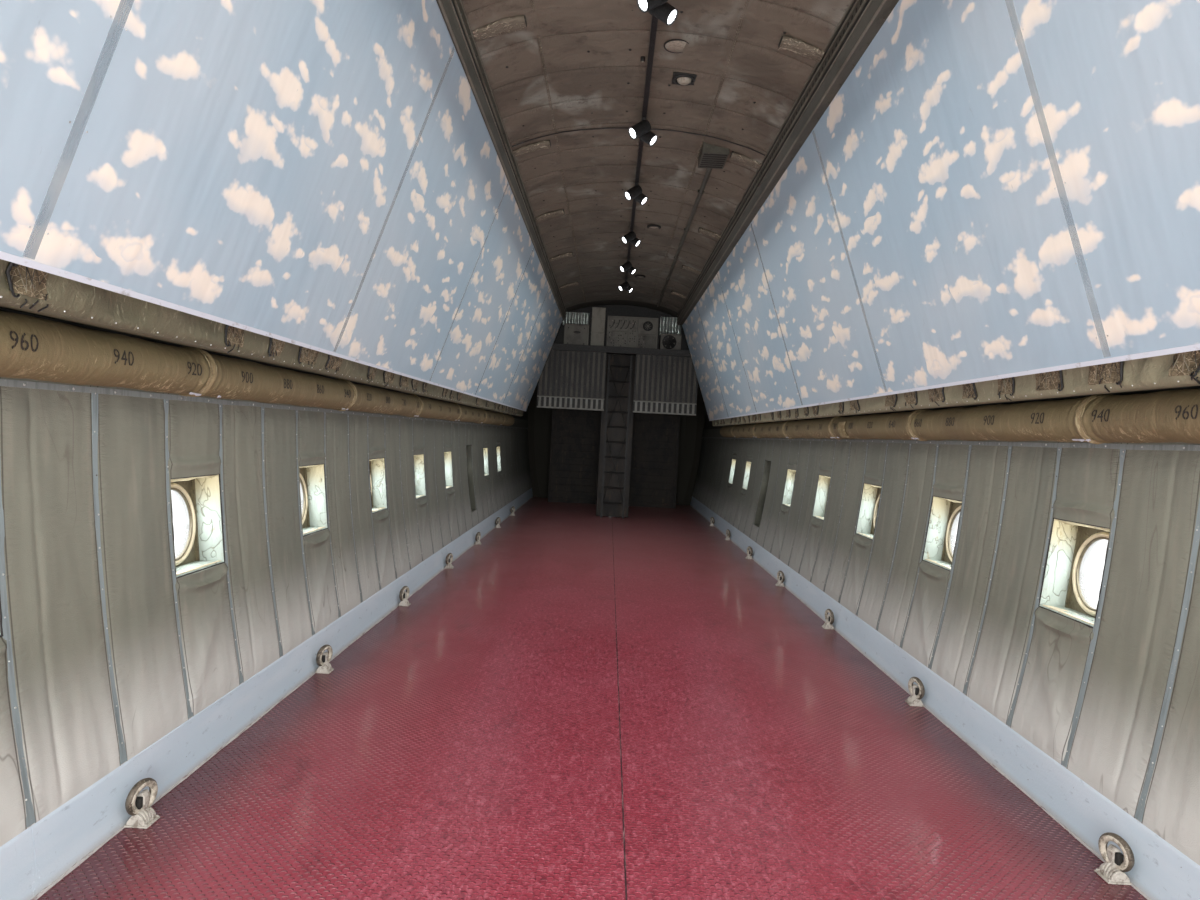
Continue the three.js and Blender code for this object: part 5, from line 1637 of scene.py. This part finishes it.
def build_curtains():
    for name, low, count in (("left", 3.765, 9), ("right", 3.665, 7)):
        low_corner, high_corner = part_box(f"pleated_curtain_{name}")
        y = float(low_corner[1] + high_corner[1]) / 2
        x0, x1 = float(low_corner[0]) + 0.01, float(high_corner[0]) - 0.01
        rod = tube([(x0, y, FLOOR + CURTAIN_TOP), (x1, y, FLOOR + CURTAIN_TOP)], 0.009, 8)
        curtain = piece(f"gathered_curtain_{name}", Shape(pleats(x0, x1, y, low, count), rod),
                        "silvery_cloth", replaces=[f"pleated_curtain_{name}"], smooth=60)


def front_y(node):
    return float(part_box(node)[0][1])


def build_flight_deck():
    dress("equipment_paint", "equipment_cabinet", "equipment_rack", "fan_box")
    dress("trunk_paint", "equipment_trunk")
    dress("black_fittings", "flight_deck_bulkhead", "flight_deck_floor", "nose_ladder")
    grey, dark, pale = Shape(), Shape(), Shape()
    y = front_y("equipment_cabinet")
    grey.add(block((-1.10, -0.67), (y - 0.012, y + 0.002), (3.33, 3.73)))
    grey.add(block((-1.10, -0.655), (y - 0.020, y + 0.002), (3.735, 3.757)))
    badge = bolt((0, 0, 0), AFT, 0.07, 0.002, (0.06, 0.001), 20)
    dark.add((badge[0] * (1, 1, 0.35) + (-0.87, y - 0.012, FLOOR + 3.60), badge[1]))
    for x in (-1.04, -0.73):
        for h in (3.38, 3.68):
            dark.add(dome((x, y - 0.012, FLOOR + h), AFT, 0.012, 0.008, 8))
    y = front_y("equipment_trunk")
    for h in (3.36, 3.62, 3.90, 4.10):
        pale.add(block((-0.605, -0.335), (y - 0.010, y + 0.02), (h, h + 0.022)))
    build_rack(grey, dark, pale)
    build_fan(grey, dark)
    piece("deck_panels", grey, "equipment_paint", bevel=0.003)
    piece("deck_fittings", dark, "black_fittings", smooth=40)
    piece("deck_bright_parts", pale, "trunk_paint", bevel=0.002)
    edge = Shape(
        block((-1.55, 1.55), (HOLD_END - 0.004, HOLD_END + 0.012), (DECK_LOW - 0.02, DECK_HIGH + 0.03)),
        block((-1.55, 1.55), (HOLD_END - 0.016, HOLD_END + 0.05), (DECK_LOW - 0.03, DECK_LOW - 0.005)))
    for x in np.arange(-1.5, 1.5, 0.06):
        edge.add(dome((x, HOLD_END - 0.004, FLOOR + DECK_LOW + 0.03), AFT, 0.005, 0.003))
    piece("deck_edge_beam", edge, "black_fittings", bevel=0.002)


def build_rack(grey, dark, pale):
    """Modules, a dial and switches on the rack's aft face."""
    y = front_y("equipment_rack")
    for x0, low, x1, high in RACK_MODULES:
        grey.add(block((x0, x1), (y - 0.018, y + 0.002), (low, high)))
    centre = np.array([0.50, y - 0.018, FLOOR + 3.79])
    dark.add(torus(centre, (0, 1, 0), 0.085, 0.012, 28, 8))
    dark.add(bolt(centre, AFT, 0.075, 0.004, (0.01, 0.002), 24))
    hub = centre - (0, 0.008, 0)
    for tip in hub + 0.065 * circle((1, 0, 0), (0, 0, 1), 8):
        pale.add(tube([hub, tip], 0.004, 6))
    draw = random.Random(23)
    for x0, low, x1, high in RACK_MODULES[:4]:
        for x in np.arange(x0 + 0.03, x1 - 0.02, 0.045):
            for h in np.arange(low + 0.04, high - 0.02, 0.05):
                if draw.random() < 0.55:
                    target = draw.choice((dark, pale, dark))
                    target.add(bolt((x, y - 0.018, FLOOR + h), AFT, 0.010, 0.008, (0.006, 0.006), 8))
    for x in np.arange(0.33, 0.67, 0.022):
        dark.add(block((x, x + 0.006), (y - 0.021, y - 0.016), (3.36, 3.60)))
    t = np.linspace(0, 1, 8)
    sag = np.sin(t * math.pi)
    for k in range(5):
        z = FLOOR + 3.72 + 0.16 * t - 0.05 * sag
        wire = points(-0.24 + 0.10 * k + 0.09 * t, y - 0.03 - 0.02 * sag, z)
        dark.add(tube(wire, 0.006, 6))


def build_fan(grey, dark):
    y = front_y("fan_box")
    centre = np.array([0.93, y - 0.002, FLOOR + 3.50])
    grey.add(block((0.775, 1.145), (y - 0.008, y + 0.002), (3.32, 3.645)))
    dark.add(torus(centre - (0, 0.012, 0), (0, 1, 0), 0.125, 0.012, 36, 8))
    dark.add(bolt(centre, AFT, 0.030, 0.030, (0.020, 0.006), 16))
    for angle in np.arange(6) * math.pi / 3 + 0.3:
        way = np.array([math.cos(angle), 0, math.sin(angle)])
        side = np.array([-math.sin(angle), 0, math.cos(angle)])
        rings = []
        for reach, wide, tilt in ((0.025, 0.020, 0.010), (0.07, 0.038, 0.012), (0.115, 0.044, 0.010)):
            middle = centre + way * reach - (0, 0.018, 0)
            half = side * wide + (0, tilt, 0)
            back = middle - (0, 0.002, 0)
            rings.append([middle - half, middle + half, back + half, back - half])
        dark.add(loft(rings))
    for reach in (0.045, 0.085):
        dark.add(torus(centre - (0, 0.034, 0), (0, 1, 0), reach, 0.002, 24, 5))


def build_nose():
    dress("black_fittings", "header_panel_left", "header_panel_right")
    strips, treads, bracing = Shape(), Shape(), Shape()
    for name, _ in SIDES[::-1]:
        (x0, y, low), (x1, _, high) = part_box(f"header_panel_{name}")
        for x in np.arange(x0 + 0.03, x1 - 0.03, 0.10):
            strips.add(box((x, y - 0.016, low + 0.02), (x + 0.045, y + 0.002, high - 0.02)))
        strips.add(block((x0, x1), (y - 0.022, y + 0.02), (2.305, 2.335)))
        strips.add(box((x0, y - 0.014, low - 0.004), (x1, y + 0.03, low + 0.024)))
        for x in np.arange(x0 + 0.05, x1 - 0.02, 0.10):
            strips.add(dome((x, y - 0.022, FLOOR + 2.320), AFT, 0.007, 0.005))
    piece("header_strips", strips, "ribbed_sheet", bevel=0.004)
    for name, _ in SIDES:
        (x0, y, low), (x1, _, high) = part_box(f"nose_ramp_{name}")
        for z in np.arange(low + 0.08, high - 0.05, 0.16):
            treads.add(box((x0 + 0.05, y - 0.022, z), (x1 - 0.05, y + 0.001, z + 0.03)))
        for x in (x0, x1 - 0.045):
            treads.add(box((x, y - 0.035, low), (x + 0.045, y + 0.001, high)))
        dress("ramp_tread", f"nose_ramp_{name}")
    piece("ramp_treads", treads, "ramp_tread", bevel=0.003)
    (_, aft, _), (_, fore, top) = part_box("nose_ladder")
    y = fore + 0.015
    for foot, head in ((0.3, 1.7), (1.7, 3.05)):
        for way in (-1, 1):
            ends = [(way * 0.21, y, FLOOR + foot), (-way * 0.21, y + 0.012 * way, FLOOR + head)]
            bracing.add(tube(ends, 0.007, 8))
    for h in (0.45, 1.7, 2.95):
        for x in (-0.218, 0.218):
            bracing.add(block((x - 0.026, x + 0.026), (aft - 0.008, fore + 0.008), (h, h + 0.05)))
    piece("ladder_bracing", bracing, "black_fittings", smooth=40)
    # painted shade: a dark sheet behind the ladder, over the gap between the nose doors
    sheet = box((-0.32, fore + 0.045, FLOOR + 0.02), (0.32, fore + 0.049, top))
    piece("ladder_back_sheet", Shape(sheet), "ramp_tread")


# Shell, hatches and nose doors from outside
def build_shell():
    dress("side_skin", "side_wall_right", "side_wall_left", "upper_wall_right", "upper_wall_left")
    dress("door_skin", "nose_door_right", "nose_door_left")
    dress("crown_skin", "roof", "belly_skin")
    dress("green_primer", "aft_frame", "front_frame", "floor_structure")
    spots = [on_side(side, 0.0, height, 0.095) for height in np.arange(0.0, 2.0, 0.10) for side in (1, -1)]
    spots += [on_ceiling(s, 0.0, 0.095) for s in np.arange(-CEILING_EDGE - 0.9, CEILING_EDGE + 0.95, 0.10)]
    bolts = Shape(*(bolt(spot, AFT, 0.011, 0.008, (0.007, 0.002)) for spot in spots))
    piece("frame_bolts", bolts, "snap_metal", smooth=40)


def build_hatch(name, side):
    body = f"hatch_{name}"
    dress("hatch_skin", f"escape_hatch_{name}")
    y = (HATCH_BAY + 0.5) * PITCH
    place = on_wall(side, y, (HATCH_LOW + HATCH_HIGH) / 2)
    window = on_wall(side, y, WINDOW_MIDDLE)
    tall = (HATCH_HIGH - HATCH_LOW) / 2
    edges = ((0.0005, -0.004), (0.0005, 0.100), (0.005, 0.100), (0.005, -0.004))
    rings = [[(along * (WINDOW_HALF - less), up * (tall - less), out) for less, out in edges]
             for along, up in rectangle_loop(1.0, 1.0, 6)]
    recess, ribs, ring, pane, fittings = Shape(), Shape(), Shape(), Shape(), Shape()
    recess.add(loft(rings, loop=True), place)
    piece(f"hatch_recess_{name}", recess, "hatch_paint", smooth=30)
    inner, wide, tall = SKIN - 0.06, WINDOW_HALF - 0.03, tall - 0.03
    for x in (-wide, wide):
        ribs.add(block_at((x, 0, inner), (0.012, tall), -0.012, 0.002), place)
    for up in (-tall, -tall * 0.55, -tall * 0.1):
        ribs.add(block_at((0, up, inner), (wide, 0.012), -0.012, 0.002), place)
    handle = [(along, -0.20, inner - off) for along, off in
              ((0.10, 0), (0.10, 0.035), (0.0, 0.045), (-0.10, 0.035), (-0.10, 0))]
    ribs.add(tube(handle, 0.009, 8), place)
    rim = ((0.196, -0.012), (0.196, 0.004), (0.216, 0.0045), (0.219, -0.012))
    ring.add(turned(RING_PROFILE, (0, 0, inner - 0.001), OUTWARD, 48, True), window)
    ring.add(turned(rim, (0, 0, SKIN), OUTWARD, 40, True), window)
    glass = ((0.001, 0.0), (0.195, 0.0), (0.195, 0.006), (0.001, 0.006))
    pane.add(turned(glass, (0, 0, inner + 0.02), OUTWARD, 32), window)
    for up in (-0.33, 0.0, 0.33):
        hinge = [(WINDOW_HALF - 0.010, up + end, SKIN + 0.003) for end in (-0.04, 0.04)]
        fittings.add(tube(hinge, 0.008, 10), place)
        leaf = block_at((WINDOW_HALF - 0.0435, up, SKIN), (0.0315, 0.035), -0.003, 0.003)
        fittings.add(leaf, place)
    grip = [(-0.17, up, SKIN + off) for up, off in ((-0.26, 0), (-0.26, 0.02), (-0.14, 0.02), (-0.14, 0))]
    fittings.add(tube(grip, 0.006, 8), place)
    piece(f"hatch_ribs_{name}", ribs, "hatch_paint", body=body, bevel=0.002)
    piece(f"hatch_window_ring_{name}", ring, "window_ring", body=body, smooth=50)
    piece(f"hatch_pane_{name}", pane, "window_pane", body=body, smooth=50)
    piece(f"hatch_fittings_{name}", fittings, "side_skin", body=body, smooth=40)


def build_doors(name, side):
    """Hinge barrels and plates along the leaf's outer edge."""
    hinges = Shape()
    y = LENGTH + 0.020
    for height in (0.35, 1.2, 2.05, 2.9):
        x, z = wall_at(height, SKIN - 0.004) if height < 2.2 else (WALL_X + SKIN - 0.06, FLOOR + height)
        hinges.add(tube([(side * x, y, z - 0.07), (side * x, y, z + 0.07)], 0.016, 12))
        hinges.add(block((x - 0.05, x + 0.004), (y, y + 0.12), (z - FLOOR - 0.05, z - FLOOR + 0.05), side))
    piece(f"door_hinges_{name}", hinges, "side_skin", body=f"door_{name}", bevel=0.002)


# Lights, camera and stage
AREA_LAMPS = (
    ("open_end", (0, -0.9, 2.2), (0, 6, 1.7), (3.6, 3.4), 210, (1, 1, 1), True),
    ("open_low", (0, -0.5, 0.9), (0, 6, 0.8), (3.4, 1.5), 110, (1.0, 0.99, 0.97), True),
    ("hold_down", (0, 7.6, 3.7), (0, 7.6, 0), (1.6, 13.0), 128, (1.0, 0.98, 0.95), False),
    ("hold_up", (0, 7.6, 0.6), (0, 7.6, 4), (2.2, 13.0), 62, (1.0, 0.98, 0.95), False),
    ("studio_key", (-14, -4, 14), (0, 9, 1), (10, 10), 1500, (1, 1, 1), True),
    ("studio_fill", (14, 24, 8), (0, 11, 1), (9, 9), 700, (1, 1, 1), True),
)


def add_lamp(name, shape, place, turn, size, power, color):
    """An area lamp that the camera doesn't see."""
    lamp = bpy.data.lights.new(name, "AREA")
    lamp.shape = shape
    lamp.size, lamp.size_y = size
    lamp.energy = power
    lamp.color = color
    holder = bpy.data.objects.new(name, lamp)
    holder.location = place
    holder.rotation_euler = turn
    holder.visible_camera = False
    bpy.context.scene.collection.objects.link(holder)
    return holder


def build_lights():
    world = bpy.data.worlds.new("studio")
    bpy.context.scene.world = world
    world.use_nodes = True
    background = world.node_tree.nodes["Background"]
    background.inputs["Color"].default_value = (0.96, 0.98, 1.0, 1)
    background.inputs["Strength"].default_value = 1.0
    for name, place, aim, size, power, color, gloss in AREA_LAMPS:
        turn = (Vector(aim) - Vector(place)).to_track_quat("-Z", "Y").to_euler()
        add_lamp(name, "RECTANGLE", place, turn, size, power, color).visible_glossy = gloss
    for bay in WINDOW_BAYS:
        for name, side in SIDES:
            place = on_wall(side, (bay + 0.5) * PITCH, WINDOW_MIDDLE)([[0, 0, 0.125]])[0]
            turn = (0, side * math.pi / 2, 0)
            window = ("DISK", place, turn, (0.33, 0.33))
            add_lamp(f"window_light_{bay}_{name}", *window, 2.0, (0.95, 0.98, 1.0))
            glint = add_lamp(f"window_glint_{bay}_{name}", *window, 16.0, (0.95, 0.98, 1.0))
            glint.visible_diffuse = False


def build_camera():
    """The photograph's viewpoint, with the same lens: 24 mm on a 36 mm wide picture."""
    yaw, pitch, roll = 0.0102, -0.0186, -0.0520
    turn = Matrix.Rotation(yaw, 4, "Z") @ Matrix.Rotation(pitch, 4, "X") @ Matrix.Rotation(roll, 4, "Y")
    ahead = Matrix.Rotation(math.pi / 2, 4, "X")
    camera = bpy.data.cameras.new("camera")
    camera.lens = 24.0
    camera.sensor_width = 36.0
    camera.clip_end = 200.0
    holder = bpy.data.objects.new("camera", camera)
    holder.matrix_world = Matrix.Translation((-0.1465, 1.4515, 1.727)) @ turn @ ahead
    bpy.context.scene.collection.objects.link(holder)
    bpy.context.scene.camera = holder


def build_stage():
    mesh = bpy.data.meshes.new("studio_floor")
    low = float(cad_box[0][2]) - 0.02
    reach = 45.0
    corners = [(-reach, -reach, low), (reach, -reach, low), (reach, reach, low), (-reach, reach, low)]
    mesh.from_pydata(corners, [], [(0, 1, 2, 3)])
    ground = bpy.data.objects.new("studio_floor", mesh)
    bpy.context.scene.collection.objects.link(ground)
    mesh.materials.append(Finish("studio_floor", (231, 231, 230), 0.7).done())
    ground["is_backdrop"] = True


build_camera()
build_stage()
build_lights()
build_floor()
for side_name, side_sign in SIDES:
    for build in (build_lining, build_tapes, build_windows, build_sill, build_rings, build_duct,
                  build_figures, build_canvas, build_panels, build_rail, build_hatch, build_doors):
        build(side_name, side_sign)
for build in (build_grille, build_ceiling, build_pouches, build_ceiling_fittings, build_track,
              build_curtains, build_flight_deck, build_nose, build_shell):
    build()

bpy.context.scene.view_settings.view_transform = "Standard"

plain = [[[float(v) for v in corner] for corner in pair] for pair in (cad_box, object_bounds())]
